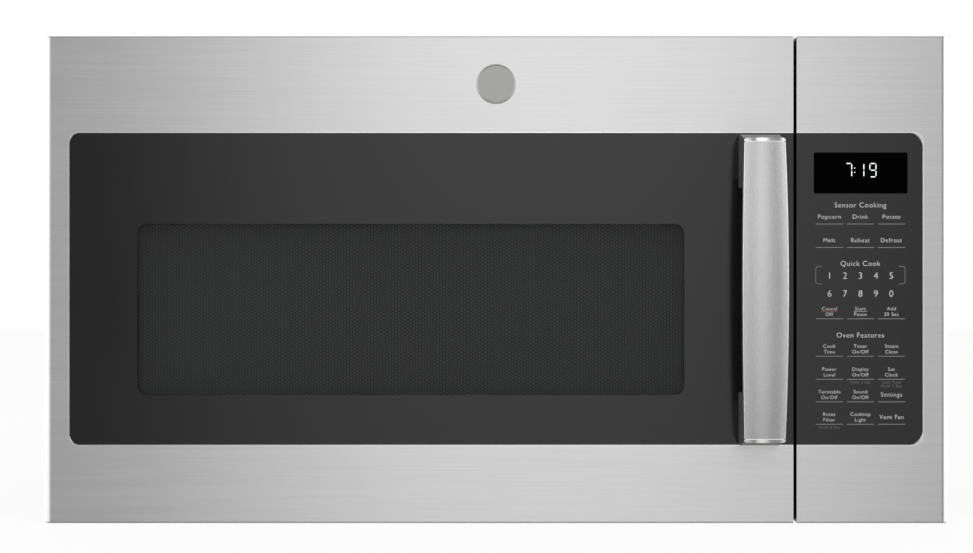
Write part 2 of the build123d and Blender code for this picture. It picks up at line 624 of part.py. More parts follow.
def exhaust_flange():
    """Collar round the exhaust opening that the duct slips over."""
    collar = exhaust_box(0, CASE_HEIGHT - SHEET, CASE_HEIGHT + EXHAUST_RISE)
    foot = exhaust_box(EXHAUST_FOOT, CASE_HEIGHT, CASE_HEIGHT + SHEET)
    bore = exhaust_box(-SHEET, CASE_HEIGHT - SHEET - CUT, CASE_HEIGHT + EXHAUST_RISE + CUT)
    return collar + foot - bore


GRILLE_LIP = 5.0
CHARCOAL_R = 4.0
CHARCOAL_REACH_FRONT = 2.0  # cartridge beyond the grille
CHARCOAL_REACH_BACK = 40.0
CHARCOAL_BAYS = 6
CHARCOAL_RIM = 8.0          # frame round the bays
CHARCOAL_END = 14.0
CHARCOAL_BAR = 4.0
CHARCOAL_BAY_DEPTH = 2.0


def top_vent_grille():
    """Louvred plastic insert for the air that is blown back into the room."""
    w = GRILLE_WIDTH / 2
    z1 = CASE_HEIGHT + SHEET
    tray = block(-w, w, GRILLE_Y0, GRILLE_Y1, CASE_HEIGHT - GRILLE_H, CASE_HEIGHT)
    lip = block(-w - GRILLE_LIP, w + GRILLE_LIP, GRILLE_Y0 - GRILLE_LIP, GRILLE_Y1 + GRILLE_LIP,
                CASE_HEIGHT, z1)
    grille = tray + lip
    count = int((GRILLE_WIDTH - 2 * MOULD_T) / GRILLE_PITCH)
    gap = GRILLE_PITCH - GRILLE_BAR
    first = -(count - 1) / 2 * GRILLE_PITCH
    for i in range(count):
        x = first + i * GRILLE_PITCH
        grille -= block(x - gap / 2, x + gap / 2, GRILLE_Y0 + MOULD_T, GRILLE_Y1 - MOULD_T,
                        CASE_HEIGHT - GRILLE_H - CUT, z1 + CUT)
    return grille


def charcoal_filter():
    """Odour filter cartridge under the top grille."""
    z1 = CASE_HEIGHT - GRILLE_H
    z0 = z1 - CHARCOAL_H
    w = CHARCOAL_WIDTH / 2
    y0 = GRILLE_Y0 - CHARCOAL_REACH_FRONT
    y1 = GRILLE_Y1 + CHARCOAL_REACH_BACK
    frame = slab_xy(-w, w, y0, y1, CHARCOAL_R, z0, z1)
    first = -w + CHARCOAL_END
    pitch = 2 * (w - CHARCOAL_END + CHARCOAL_BAR / 2) / CHARCOAL_BAYS
    for i in range(CHARCOAL_BAYS):
        x0 = first + i * pitch
        x1 = x0 + pitch - CHARCOAL_BAR
        for z in (z1 - CHARCOAL_BAY_DEPTH, z0 - CUT):
            frame -= block(x0, x1, y0 + CHARCOAL_RIM, y1 - CHARCOAL_RIM, z,
                           z + CHARCOAL_BAY_DEPTH + CUT)
    return frame


def cord_bushing():
    """Plastic bush in the supply cord's hole; the cord itself is not part of the model."""
    z0 = CASE_HEIGHT - BUSHING_DEPTH
    height = BUSHING_DEPTH + BUSHING_T
    ring = rod(CORD_HOLE_R, (CORD_X, CORD_Y, z0), height)
    ring += rod(CORD_HOLE_R + BUSHING_LAP, (CORD_X, CORD_Y, CASE_HEIGHT), BUSHING_T)
    return ring - rod(CORD_BORE_R, (CORD_X, CORD_Y, z0 - CUT), height + 2 * CUT)


def hinge_bracket(z, turn):
    """Tongue with its pin and the plate behind the front frame. turn is +1 for pin up."""
    y = FRAME_Y + SHEET
    t = HINGE_PLATE_T
    plate = block(HINGE_X + HINGE_PLATE_X0, HINGE_X + HINGE_PLATE_X1, y, y + t,
                  z - HINGE_PLATE_H / 2, z + HINGE_PLATE_H / 2)
    tongue = block(HINGE_X - HINGE_TONGUE_R, HINGE_X + HINGE_TONGUE_R, HINGE_Y, y + t,
                   z - t / 2, z + t / 2)
    tongue += rod(HINGE_TONGUE_R, (HINGE_X, HINGE_Y, z - t / 2), t)
    pin_length = t / 2 + SEAT_GAP + BUSH_FLANGE_T + HINGE_SHELF_T
    pin_z = z if turn > 0 else z - pin_length
    bracket = plate + tongue + rod(HINGE_PIN_R, (HINGE_X, HINGE_Y, pin_z), pin_length)
    for x_hole, z_hole in hinge_screw_places():
        bracket -= rod(SCREW_R, (x_hole, y - CUT, z_hole), t + 2 * CUT, "Y")
    return bracket


def hinge_lower():
    """Lower hinge bracket, pin up."""
    return hinge_bracket(tongue_zs()[0], 1)


def hinge_upper():
    """Upper hinge bracket, pin down."""
    return hinge_bracket(tongue_zs()[1], -1)


def casing_screws():
    """Rear case screws round the wall plate and the screws of the hinge brackets."""
    screws = []
    for x, z in rear_screw_places():
        shank = rod(SCREW_R, (x, REAR_Y - SCREW_LENGTH, z), SCREW_LENGTH, "Y")
        screws.append(shank + rod(SCREW_HEAD_R, (x, REAR_Y, z), SCREW_HEAD_T, "Y"))
    for x, z in hinge_screw_places():
        shank = rod(SCREW_R, (x, FRAME_Y, z), HINGE_SCREW_LENGTH, "Y")
        head_y = FRAME_Y - HINGE_HEAD_T
        screws.append(shank + rod(SCREW_HEAD_R, (x, head_y, z), HINGE_HEAD_T, "Y"))
    return join(screws)


# --- microwave generator and electrics ------------------------------------------------
GUIDE_EDGE_R = 5.0          # folded outer edges of the waveguide
ANTENNA_HOLE_R = 11.0
MAGNETRON_ABOVE_GUIDE = 4.0     # yoke's lower side above the waveguide's
YOKE_T = 2.0
FILTER_BOX_LENGTH = 30.0
FILTER_BOX_INSET_Y = 12.0
FILTER_BOX_INSET_Z = 4.0
ANODE_R = 14.0
MAGNET_R = 25.0
MAGNET_T = 8.0
FIN_T = 0.8
ANTENNA_R = 8.0
ANTENNA_LENGTH = 24.0
ANTENNA_SEAT_R = 10.5
ANTENNA_SEAT_T = 8.0


def waveguide():
    """Duct that carries the microwaves from the antenna to the cavity port."""
    y0 = GUIDE_Y - GUIDE_WIDTH / 2
    y1 = GUIDE_Y + GUIDE_WIDTH / 2
    duct = block(GUIDE_X0, GUIDE_X1, y0, y1, GUIDE_Z0, GUIDE_Z1)
    duct = fillet(along_edges(duct, Axis.Y).group_by(Axis.X)[-1], GUIDE_EDGE_R)
    hollow = block(GUIDE_X0 - CUT, GUIDE_X1 - SHEET, y0 + SHEET, y1 - SHEET,
                   GUIDE_Z0 + SHEET, GUIDE_Z1 - SHEET)
    hollow = fillet(along_edges(hollow, Axis.Y).group_by(Axis.X)[-1], GUIDE_EDGE_R - SHEET)
    hole = rod(ANTENNA_HOLE_R, (GUIDE_X1 - SHEET - CUT, GUIDE_Y, magnetron_z()),
               SHEET + 2 * CUT, "X")
    return duct - hollow - hole


def magnetron_z():
    """Height of the magnetron's axis."""
    return GUIDE_Z0 + MAGNETRON_H / 2 + MAGNETRON_ABOVE_GUIDE


def waveguide_cover():
    """Mica sheet over the port, inside the cavity."""
    return guide_port(MICA_LAP, CAVITY_X1 - MICA_T, CAVITY_X1)


def magnetron():
    """Yoke, cooling fins, anode, antenna and filter box."""
    x0 = GUIDE_X1
    core_end = x0 + MAGNETRON_LENGTH - FILTER_BOX_LENGTH
    y0 = GUIDE_Y - MAGNETRON_W / 2
    y1 = GUIDE_Y + MAGNETRON_W / 2
    z = magnetron_z()
    z0 = z - MAGNETRON_H / 2
    z1 = z + MAGNETRON_H / 2
    yoke = block(x0, core_end, y0, y1, z0, z1)
    yoke -= block(x0 + YOKE_T, core_end - YOKE_T, y0 - CUT, y1 + CUT, z0 + YOKE_T, z1 - YOKE_T)
    body = yoke + rod(ANODE_R, (x0 + YOKE_T, GUIDE_Y, z), core_end - x0 - 2 * YOKE_T, "X")
    for end in (x0 + YOKE_T, core_end - YOKE_T - MAGNET_T):
        body += rod(MAGNET_R, (end, GUIDE_Y, z), MAGNET_T, "X")
    fins_x0 = x0 + YOKE_T + MAGNET_T
    fin_span = core_end - x0 - 2 * (YOKE_T + MAGNET_T)
    for i in range(MAGNETRON_FINS):
        x = fins_x0 + fin_span * (i + 0.5) / MAGNETRON_FINS
        body += block(x - FIN_T / 2, x + FIN_T / 2, y0 + YOKE_T, y1 - YOKE_T,
                      z0 + YOKE_T, z1 - YOKE_T)
    body += block(core_end, x0 + MAGNETRON_LENGTH, y0 + FILTER_BOX_INSET_Y,
                  y1 - FILTER_BOX_INSET_Y, z0 + FILTER_BOX_INSET_Z, z1 - FILTER_BOX_INSET_Z)
    body += rod(ANTENNA_R, (x0 - ANTENNA_LENGTH, GUIDE_Y, z), ANTENNA_LENGTH, "X")
    return body + rod(ANTENNA_SEAT_R, (x0 - ANTENNA_SEAT_T, GUIDE_Y, z), ANTENNA_SEAT_T, "X")


CORE_INSET = 12.0           # laminations inside the windings, front and back
CORE_YOKE = 18.0            # laminations above and below the windings
CORE_WINDOWS = 5.5          # core widths per window width
WINDING_GAP = 4.0
WINDING_CLEAR = 0.5
WINDING_R = 10.0
TRANSFORMER_FOOT_T = 2.0
TRANSFORMER_FOOT_LAP = 8.0
TRANSFORMER_FOOT_INSET = 4.0


def hv_transformer():
    """Laminated core with its two windings on a welded base."""
    x0 = TRANSFORMER_X - TRANSFORMER_W / 2
    x1 = TRANSFORMER_X + TRANSFORMER_W / 2
    y0 = TRANSFORMER_Y - TRANSFORMER_D / 2
    y1 = TRANSFORMER_Y + TRANSFORMER_D / 2
    z0 = BAY_FLOOR
    z1 = z0 + TRANSFORMER_H
    foot = block(x0 - TRANSFORMER_FOOT_LAP, x1 + TRANSFORMER_FOOT_LAP,
                 y0 + TRANSFORMER_FOOT_INSET, y1 - TRANSFORMER_FOOT_INSET,
                 z0, z0 + TRANSFORMER_FOOT_T)
    core = block(x0, x1, y0 + CORE_INSET, y1 - CORE_INSET, z0, z1)
    window_w = TRANSFORMER_W / CORE_WINDOWS
    z_low = z0 + CORE_YOKE
    z_high = z1 - CORE_YOKE
    for side in (-1, 1):
        x = TRANSFORMER_X + side * TRANSFORMER_W / 4
        core -= block(x - window_w / 2, x + window_w / 2, y0, y1, z_low, z_high)
    reach = TRANSFORMER_W / 4 + window_w / 2 - WINDING_CLEAR
    height = (z_high - z_low - WINDING_GAP) / 2
    for base in (z_low, z_low + height + WINDING_GAP):
        core += slab_xy(TRANSFORMER_X - reach, TRANSFORMER_X + reach, y0, y1, WINDING_R,
                        base, base + height)
    return foot + core


CAPACITOR_FROM_CORE_X = 12.0    # capacitor's middle left of the transformer's
CAPACITOR_CLEAR = 22.0          # can in front of the transformer
CAPACITOR_LIFT = 1.0
STRAP_FROM_END = 30.0
STRAP_W = 12.0
STRAP_T = 1.0
STRAP_TAB_T = 1.2
STRAP_TAB_REACH = 14.0
BLADE_SPREAD = 18.0
BLADE_W = 6.0
BLADE_T = 0.8
BLADE_LENGTH = 12.0


def hv_capacitor():
    """Oval can with its two blade terminals and its strap."""
    x = TRANSFORMER_X - CAPACITOR_FROM_CORE_X
    x0 = x - CAPACITOR_LENGTH / 2
    x1 = x + CAPACITOR_LENGTH / 2
    y = TRANSFORMER_Y - TRANSFORMER_D / 2 - CAPACITOR_R - CAPACITOR_CLEAR
    z0 = BAY_FLOOR
    length = 2 * CAPACITOR_R + CAPACITOR_STRETCH
    front = Plane(origin=(x0, y, z0 + CAPACITOR_R + CAPACITOR_LIFT),
                  x_dir=(0, 1, 0), z_dir=(1, 0, 0))
    can = extrude(front * SlotOverall(length, 2 * CAPACITOR_R), amount=CAPACITOR_LENGTH)
    strap_place = Plane(front.location * Location((0, 0, STRAP_FROM_END)))
    strap = SlotOverall(length + 2 * STRAP_T, 2 * (CAPACITOR_R + STRAP_T))
    can += extrude(strap_place * strap, amount=STRAP_W)
    tab_x0 = x0 + STRAP_FROM_END
    can += block(tab_x0, tab_x0 + STRAP_W, y - length / 2 - STRAP_TAB_REACH, y,
                 z0, z0 + STRAP_TAB_T)
    for end in (-1, 1):
        blade_y = y + end * BLADE_SPREAD / 2
        can += block(x1, x1 + BLADE_LENGTH, blade_y - BLADE_W / 2, blade_y + BLADE_W / 2,
                     z0 + CAPACITOR_R, z0 + CAPACITOR_R + BLADE_T)
    return can


DIODE_R = 3.5
DIODE_LENGTH = 20.0
DIODE_LIFT = 6.0
DIODE_FROM_CORE_X = 6.0     # diode's middle inside the core's right side
DIODE_FROM_CORE_Y = 24.0    # diode in front of the core
DIODE_TAB_W = 8.0
DIODE_TAB_X0 = -16.0
DIODE_TAB_X1 = -4.0
DIODE_LEG = (-12.0, -8.0)
DIODE_LEG_W = 2.0


def hv_diode():
    """Diode moulding with its earth tab on the base."""
    x = TRANSFORMER_X + TRANSFORMER_W / 2 - DIODE_FROM_CORE_X
    y = TRANSFORMER_Y - TRANSFORMER_D / 2 - DIODE_FROM_CORE_Y
    z0 = BAY_FLOOR
    body = rod(DIODE_R, (x - DIODE_LENGTH / 2, y, z0 + DIODE_LIFT), DIODE_LENGTH, "X")
    body += block(x + DIODE_TAB_X0, x + DIODE_TAB_X1, y - DIODE_TAB_W / 2, y + DIODE_TAB_W / 2,
                  z0, z0 + SHEET)
    return body + block(x + DIODE_LEG[0], x + DIODE_LEG[1], y - DIODE_LEG_W / 2,
                        y + DIODE_LEG_W / 2, z0, z0 + DIODE_LIFT)


MOTOR_EAR_T = 1.5
MOTOR_EAR_W = 12.0
MOTOR_EAR_REACH = 11.0
MOTOR_PLUG_W = 18.0
MOTOR_PLUG_H = 8.0
MOTOR_PLUG_REACH = 10.0
MOTOR_BORE_FLOOR = 3.0


def turntable_motor():
    """Flat synchronous motor under the cavity floor, on its two ears."""
    z1 = CAVITY_FLOOR - SHEET
    z0 = z1 - TURNTABLE_MOTOR_H
    can = rod(TURNTABLE_MOTOR_R, (CAVITY_X, CAVITY_Y, z0), TURNTABLE_MOTOR_H)
    ears = SlotOverall(2 * (TURNTABLE_MOTOR_R + MOTOR_EAR_REACH), MOTOR_EAR_W)
    can += extrude(Pos(CAVITY_X, CAVITY_Y, z1 - MOTOR_EAR_T) * ears, amount=MOTOR_EAR_T)
    can += block(CAVITY_X, CAVITY_X + TURNTABLE_MOTOR_R + MOTOR_PLUG_REACH,
                 CAVITY_Y - MOTOR_PLUG_W / 2, CAVITY_Y + MOTOR_PLUG_W / 2, z0, z0 + MOTOR_PLUG_H)
    return can - rod(COUPLER_SHAFT_R + SHAFT_CLEAR, (CAVITY_X, CAVITY_Y, z0 + MOTOR_BORE_FLOOR),
                     TURNTABLE_MOTOR_H)


LAMP_HOLDER_DEPTH = 16.0
LAMP_HOLDER_FROM_WALL = 16.0
LAMP_HOLDER_W = 30.0
LAMP_HOLDER_H = 40.0
LAMP_BRACKET_T = 2.0
BULB_R = 8.0
BULB_LENGTH = 13.0
LAMP_COVER_T = 1.5
LAMP_COVER_LAP = 4.0
LENS_CLEAR = 0.3


def cavity_lamp():
    """Bulb and holder outside the cavity's right wall."""
    wall = CAVITY_X1 + SHEET
    x0 = wall + LAMP_HOLDER_FROM_WALL
    x1 = x0 + LAMP_HOLDER_DEPTH
    y0 = LAMP_PORT_Y - LAMP_HOLDER_W / 2
    z0 = LAMP_PORT_Z - LAMP_HOLDER_H / 2
    holder = block(x0, x1, y0, y0 + LAMP_HOLDER_W, z0, z0 + LAMP_HOLDER_H)
    holder += block(wall, x1, y0 - LAMP_BRACKET_T, y0, z0, z0 + LAMP_HOLDER_H)
    bulb = rod(BULB_R, (x0 - BULB_LENGTH, LAMP_PORT_Y, LAMP_PORT_Z), BULB_LENGTH, "X")
    tip = bulb.edges().filter_by(GeomType.CIRCLE).sort_by(Axis.X)[0]
    return holder + fillet(tip, BULB_R / 2)


def cavity_lamp_cover():
    """Clear disc that closes the lamp port from inside the cavity."""
    disc = rod(LAMP_PORT_R + LAMP_COVER_LAP, (CAVITY_X1 - LAMP_COVER_T, LAMP_PORT_Y, LAMP_PORT_Z),
               LAMP_COVER_T, "X")
    plug = rod(LAMP_PORT_R - LENS_CLEAR, (CAVITY_X1, LAMP_PORT_Y, LAMP_PORT_Z), SHEET, "X")
    return disc + plug


COOK_LAMP_W = 80.0
COOK_LAMP_D = 44.0
COOK_LAMP_TOP = 26.0
COOK_LAMP_WALL = 3.0
COOK_BULB_R = 7.0
COOK_BULB_LENGTH = 50.0
COOK_BULB_Z = 13.0
LENS_LIP = 5.0
LENS_R = 3.0
LENS_BASE_Z = 0.2           # lens face just above the underside


def cooktop_lamps():
    """Two lamp holders above the lenses in the base."""
    lamps = []
    for side in (-1, 1):
        x0 = side * LAMP_X - COOK_LAMP_W / 2
        x1 = side * LAMP_X + COOK_LAMP_W / 2
        y0 = LAMP_Y - COOK_LAMP_D / 2
        y1 = LAMP_Y + COOK_LAMP_D / 2
        holder = block(x0, x1, y0, y1, LAMP_LENS_T, COOK_LAMP_TOP)
        holder -= block(x0 + COOK_LAMP_WALL, x1 - COOK_LAMP_WALL, y0 + COOK_LAMP_WALL,
                        y1 - COOK_LAMP_WALL, LAMP_LENS_T - CUT, COOK_LAMP_TOP - COOK_LAMP_WALL)
        bulb = rod(COOK_BULB_R, (x0 + COOK_LAMP_WALL, LAMP_Y, COOK_BULB_Z), COOK_BULB_LENGTH, "X")
        lamps.append(holder + bulb)
    return join(lamps)


def cooktop_lamp_covers():
    """Two clear lenses in the base."""
    lenses = []
    for side in (-1, 1):
        x = side * LAMP_X
        w = LAMP_LENS_W / 2 - LENS_CLEAR
        d = LAMP_LENS_D / 2 - LENS_CLEAR
        lens = slab_xy(x - w, x + w, LAMP_Y - d, LAMP_Y + d, LENS_R, LENS_BASE_Z, LAMP_LENS_T)
        lip = slab_xy(x - w - LENS_LIP, x + w + LENS_LIP, LAMP_Y - d - LENS_LIP,
                      LAMP_Y + d + LENS_LIP, LENS_LIP, SHEET, LAMP_LENS_T)
        lenses.append(lens + lip)
    return join(lenses)


FRAME_CLEAR = 0.2           # plastic frames inside the folded skins
FRAME_RIB_T = 1.6
FRAME_RIB_DEPTH = 10.0
FRAME_RIB_FROM_BASE = 50.0
FRAME_RIB_FROM_TOP = 60.0
DISPLAY_CLEAR = 0.3
DISPLAY_T = 8.0
DISPLAY_BOARD_LAP = 3.0


def control_frame():
    """Plastic tray that holds the control glass and closes the side next to the door."""
    x1 = HALF - SKIN - FRAME_CLEAR
    z0 = FRONT_Z0 + SKIN + FRAME_CLEAR
    z1 = FRONT_Z1 - SKIN - FRAME_CLEAR
    outer = block(PANEL_X0, x1, GLASS_BACK_Y, FRAME_Y, z0, z1)
    outer = fillet(along_edges(outer, Axis.Z).group_by(Axis.X)[-1].group_by(Axis.Y)[0],
                   PANEL_EDGE_R - GLASS_RECESS - GLASS_T)
    back = GLASS_BACK_Y + MOULD_T
    hollow = block(PANEL_X0 + MOULD_T, x1 - MOULD_T, back, FRAME_Y + CUT, z0 + MOULD_T,
                   z1 - MOULD_T)
    tray = outer - hollow
    tray -= display_box(DISPLAY_CLEAR, GLASS_BACK_Y - CUT, back + CUT)
    ribs = (z0 + FRAME_RIB_FROM_BASE, (z0 + z1) / 2 - FRAME_RIB_T, z1 - FRAME_RIB_FROM_TOP)
    for z in ribs:
        tray += block(PANEL_X0 + MOULD_T, x1 - MOULD_T, back, GLASS_BACK_Y + FRAME_RIB_DEPTH,
                      z - FRAME_RIB_T / 2, z + FRAME_RIB_T / 2)
    return tray


def display_box(grow, y0, y1):
    """Block in the place of the display."""
    x0 = PANEL_X0 + DISPLAY_FROM_SPLIT
    z1 = FRONT_Z1 - DISPLAY_BELOW_TOP
    return block(x0 - grow, x0 + DISPLAY_WIDTH + grow, y0, y1, z1 - DISPLAY_HEIGHT - grow,
                 z1 + grow)


def display_module():
    """Display tube on its small board, behind the control glass."""
    y1 = GLASS_BACK_Y + DISPLAY_T
    tube = display_box(0, GLASS_BACK_Y, y1)
    return tube + display_box(DISPLAY_BOARD_LAP, y1, y1 + BOARD_T)


BOARD_FROM_FRAME = 0.5
BOARD_CLEAR = 0.4
BOARD_FROM_BASE = 130.0     # main board's ends inside the front's
BOARD_FROM_TOP = 78.0
RELAYS = 3
RELAY_W = 16.0
RELAY_H = 20.0
RELAY_DEPTH = 16.0
RELAY_PITCH = 22.0
RELAY_FROM_SIDE = 36.0
RELAY_FROM_BASE = 20.0
BOARD_COIL_W = 40.0
BOARD_COIL_H = 34.0
BOARD_COIL_DEPTH = 26.0
BOARD_COIL_FROM_SIDE = 34.0
BOARD_COIL_FROM_BASE = 90.0
BOARD_CAN_R = 6.0
BOARD_CAN_DEPTH = 18.0
BOARD_CAN_PITCH = 16.0
BOARD_CAN_FROM_SIDE = 84.0
BOARD_CAN_FROM_BASE = 70.0


def control_board():
    """Main board with its relays and transformer, carried behind the control frame."""
    y1 = FRAME_Y - BOARD_FROM_FRAME
    x0 = PANEL_X0 + MOULD_T + BOARD_CLEAR
    x1 = HALF - SKIN - FRAME_CLEAR - MOULD_T - BOARD_CLEAR
    z0 = FRONT_Z0 + BOARD_FROM_BASE
    z1 = FRONT_Z1 - BOARD_FROM_TOP
    board = block(x0, x1, y1 - BOARD_T, y1, z0, z1)
    relay_z = z0 + RELAY_FROM_BASE
    for i in range(RELAYS):
        x = x0 + RELAY_FROM_SIDE + RELAY_PITCH * i
        board += block(x - RELAY_W / 2, x + RELAY_W / 2, y1, y1 + RELAY_DEPTH, relay_z,
                       relay_z + RELAY_H)
    coil_x = x0 + BOARD_COIL_FROM_SIDE
    coil_z = z0 + BOARD_COIL_FROM_BASE
    board += block(coil_x, coil_x + BOARD_COIL_W, y1, y1 + BOARD_COIL_DEPTH, coil_z,
                   coil_z + BOARD_COIL_H)
    for i in range(2):
        at = (x0 + BOARD_CAN_FROM_SIDE, y1, z0 + BOARD_CAN_FROM_BASE + BOARD_CAN_PITCH * i)
        board += rod(BOARD_CAN_R, at, BOARD_CAN_DEPTH, "Y")
    return board


LATCH_BOARD_FROM_HOOK = 7.0
LATCH_BOARD_X = LATCH_X + LATCH_BOARD_FROM_HOOK
LATCH_BOARD_T = 2.0
LATCH_BOARD_DEPTH = 50.0
LATCH_BOARD_FOOT = 12.0
LATCH_BOARD_REACH = 30.0    # wall beyond the hooks, up and down
LATCH_RIB_DEPTH = 24.0
LATCH_RIB_FROM_END = 6.0


def latch_board():
    """Plastic wall beside the hooks that carries the door switches."""
    y0 = FRAME_Y + SHEET
    z0 = LATCH_ARM_ZS[0] - LATCH_BOARD_REACH
    z1 = LATCH_ARM_ZS[1] + LATCH_BOARD_REACH
    x0 = LATCH_BOARD_X
    x1 = x0 + LATCH_BOARD_FOOT
    half = LATCH_BOARD_T / 2
    wall = block(x0, x0 + LATCH_BOARD_T, y0, y0 + LATCH_BOARD_DEPTH, z0, z1)
    wall += block(x0, x1, y0, y0 + LATCH_BOARD_T, z0, z1)
    for z in (z0 + LATCH_RIB_FROM_END, (z0 + z1) / 2, z1 - LATCH_RIB_FROM_END):
        wall += block(x0, x1, y0, y0 + LATCH_RIB_DEPTH, z - half, z + half)
    return wall


SWITCH_W = 11.0
SWITCH_H = 18.0
SWITCH_DEPTH = 16.0
SWITCH_GAP = 2.3            # hook tips to the switch bodies
SWITCH_STEP = 24.0          # third switch above the lower one
BUTTON_X = 7.0              # button's side from the latch board
BUTTON_W = 3.0
BUTTON_Z = 1.0
BUTTON_RISE = 1.6
SWITCH_BLADE_X = 6.0
SWITCH_BLADE_T = 0.8
SWITCH_BLADE_REACH = 7.0
SWITCH_BLADE_Z0 = -7.0
SWITCH_BLADE_H = 6.0


def interlock_switch(z):
    """Snap switch with its button and blade terminal."""
    y = FRAME_Y + LATCH_REACH + SWITCH_GAP
    y1 = y + SWITCH_DEPTH
    body = block(LATCH_BOARD_X - SWITCH_W, LATCH_BOARD_X, y, y1, z - SWITCH_H / 2,
                 z + SWITCH_H / 2)
    x = LATCH_BOARD_X - BUTTON_X
    z0 = z + BUTTON_Z
    button = block(x, x + BUTTON_W, y - BUTTON_RISE, y, z0, z0 + BUTTON_W)
    x = LATCH_BOARD_X - SWITCH_BLADE_X
    z0 = z + SWITCH_BLADE_Z0
    return body + button + block(x, x + SWITCH_BLADE_T, y1, y1 + SWITCH_BLADE_REACH, z0,
                                 z0 + SWITCH_BLADE_H)


def interlock_switches():
    """Three snap switches behind the hook tips."""
    places = [LATCH_ARM_ZS[0], LATCH_ARM_ZS[1], LATCH_ARM_ZS[0] + SWITCH_STEP]
    return join([interlock_switch(z) for z in places])


CUTOUT_R = 8.0
CUTOUT_H = 7.0
CUTOUT_PLATE_W = 24.0
CUTOUT_PLATE_D = 8.0
CUTOUT_ROOF_X = 60.0        # roof thermostat from the cavity's left wall
CUTOUT_TUBE_X = 30.0        # magnetron thermostat from the waveguide


def thermal_cutout(x, y, z):
    """Disc thermostat on its mounting strip."""
    half_w = CUTOUT_PLATE_W / 2
    half_d = CUTOUT_PLATE_D / 2
    return rod(CUTOUT_R, (x, y, z), CUTOUT_H) + block(x - half_w, x + half_w, y - half_d,
                                                      y + half_d, z, z + SHEET)


def thermal_cutouts():
    """Disc thermostats on the cavity roof and on the magnetron."""
    roof = thermal_cutout(CAVITY_X0 + CUTOUT_ROOF_X, CAVITY_Y, CEILING + SHEET)
    tube = thermal_cutout(GUIDE_X1 + CUTOUT_TUBE_X, GUIDE_Y, magnetron_z() + MAGNETRON_H / 2)
    return join([roof, tube])


SENSOR_W = 14.0             # steam sensor's case, away from the cavity wall
SENSOR_D = 32.0
SENSOR_H = 16.0
SENSOR_PLUG_W = 6.0
SENSOR_PLUG_D = 16.0
SENSOR_PLUG_H = 10.0
SENSOR_BELOW_CEILING = 75.0


def humidity_sensor():
    """Steam sensor outside the cavity's left air slots."""
    x1 = CAVITY_X0 - SHEET
    x0 = x1 - SENSOR_W
    z = CEILING - SENSOR_BELOW_CEILING
    case = block(x0, x1, CAVITY_Y - SENSOR_D / 2, CAVITY_Y + SENSOR_D / 2, z - SENSOR_H / 2,
                 z + SENSOR_H / 2)
    return case + block(x0 - SENSOR_PLUG_W, x0, CAVITY_Y - SENSOR_PLUG_D / 2,
                        CAVITY_Y + SENSOR_PLUG_D / 2, z - SENSOR_PLUG_H / 2,
                        z + SENSOR_PLUG_H / 2)


FAN_TO_PLATE = 6.0          # fan's back to the shroud plate
SHROUD_T = 1.5
SHROUD_LAP = 9.0            # plate beyond the fan
SHROUD_CLEAR = 2.0
SHROUD_RING_T = 2.0
SHROUD_FOOT_X = 30.0
SHROUD_FOOT_Z = 8.0
SHROUD_FOOT_TOP = 30.0
SHROUD_FOOT_DEPTH = 20.0
SHROUD_FOOT_BASE = 30.0
SHROUD_WING_TOP = 60.0
SHROUD_ARM_T = 2.5
SHROUD_ARM_H = 12.0
SHROUD_ARM_REACH = 6.0
STACK_W = 48.0
STACK_DEPTH = 18.0
STACK_BELOW = 30.0
STACK_ABOVE = 24.0
COIL_R = 14.0
COIL_LENGTH = 32.0
COIL_BELOW = 36.0


def fan_plate_y():
    """Front face of the shroud plate, behind the fan."""
    return FAN_Y + FAN_DEPTH / 2 + FAN_TO_PLATE


def fan_shroud():
    """Plate and ring round the fan with the foot that is screwed to the casing's side."""
    y0 = fan_plate_y()
    y1 = y0 + SHROUD_T
    bore = FAN_R + SHROUD_CLEAR
    lap = FAN_R + SHROUD_LAP
    plate = block(FAN_X - lap, FAN_X + lap, y0, y1, FAN_Z - lap, FAN_Z + lap)
    front = FAN_Y - FAN_DEPTH / 2
    plate += rod(bore + SHROUD_RING_T, (FAN_X, front, FAN_Z), y0 - front, "Y")
    x1 = HALF - SHEET
    top = FAN_Z + FAN_R + SHROUD_FOOT_TOP
    plate += block(FAN_X - SHROUD_FOOT_X, x1, y0, y1, FAN_Z + FAN_R + SHROUD_FOOT_Z, top)
    plate += block(x1 - SHROUD_T, x1, y0, y0 + SHROUD_FOOT_DEPTH, FAN_Z - SHROUD_FOOT_BASE, top)
    plate += block(FAN_X + FAN_R, x1, y0, y1, FAN_Z - SHROUD_FOOT_BASE, FAN_Z + SHROUD_WING_TOP)
    return plate - rod(bore, (FAN_X, front - FAN_DEPTH, FAN_Z), 3 * FAN_DEPTH, "Y")


def cooling_fan_motor():
    """Shaded-pole motor on the shroud that feeds air to the magnetron."""
    y1 = fan_plate_y() + SHROUD_T
    reach = FAN_R + SHROUD_ARM_REACH
    arms = block(FAN_X - reach, FAN_X + reach, y1, y1 + SHROUD_ARM_T,
                 FAN_Z - SHROUD_ARM_H / 2, FAN_Z + SHROUD_ARM_H / 2)
    y2 = y1 + SHROUD_ARM_T
    half = STACK_W / 2
    stack = block(FAN_X - half, FAN_X + half, y2, y2 + STACK_DEPTH, FAN_Z - STACK_BELOW,
                  FAN_Z + STACK_ABOVE)
    coil = rod(COIL_R, (FAN_X - COIL_LENGTH / 2, y2 + STACK_DEPTH / 2, FAN_Z - COIL_BELOW),
               COIL_LENGTH, "X")
    motor = fan_shroud() + arms + stack + coil
    return motor - rod(FAN_SHAFT_R + SHAFT_CLEAR, (FAN_X, y1 - SHROUD_T - CUT, FAN_Z),
                       2 * STACK_DEPTH, "Y")


# --- front skins and glass ------------------------------------------------------------
def glass_outline(x0, x1, radius, y0, y1, grow):
    """Slab of the glass cut-out, rounded on one side and cut square at the split."""
    return slab_xz(x0 - grow, x1 + grow, GLASS_Z0 - grow, GLASS_Z1 + grow, radius + grow, y0, y1)


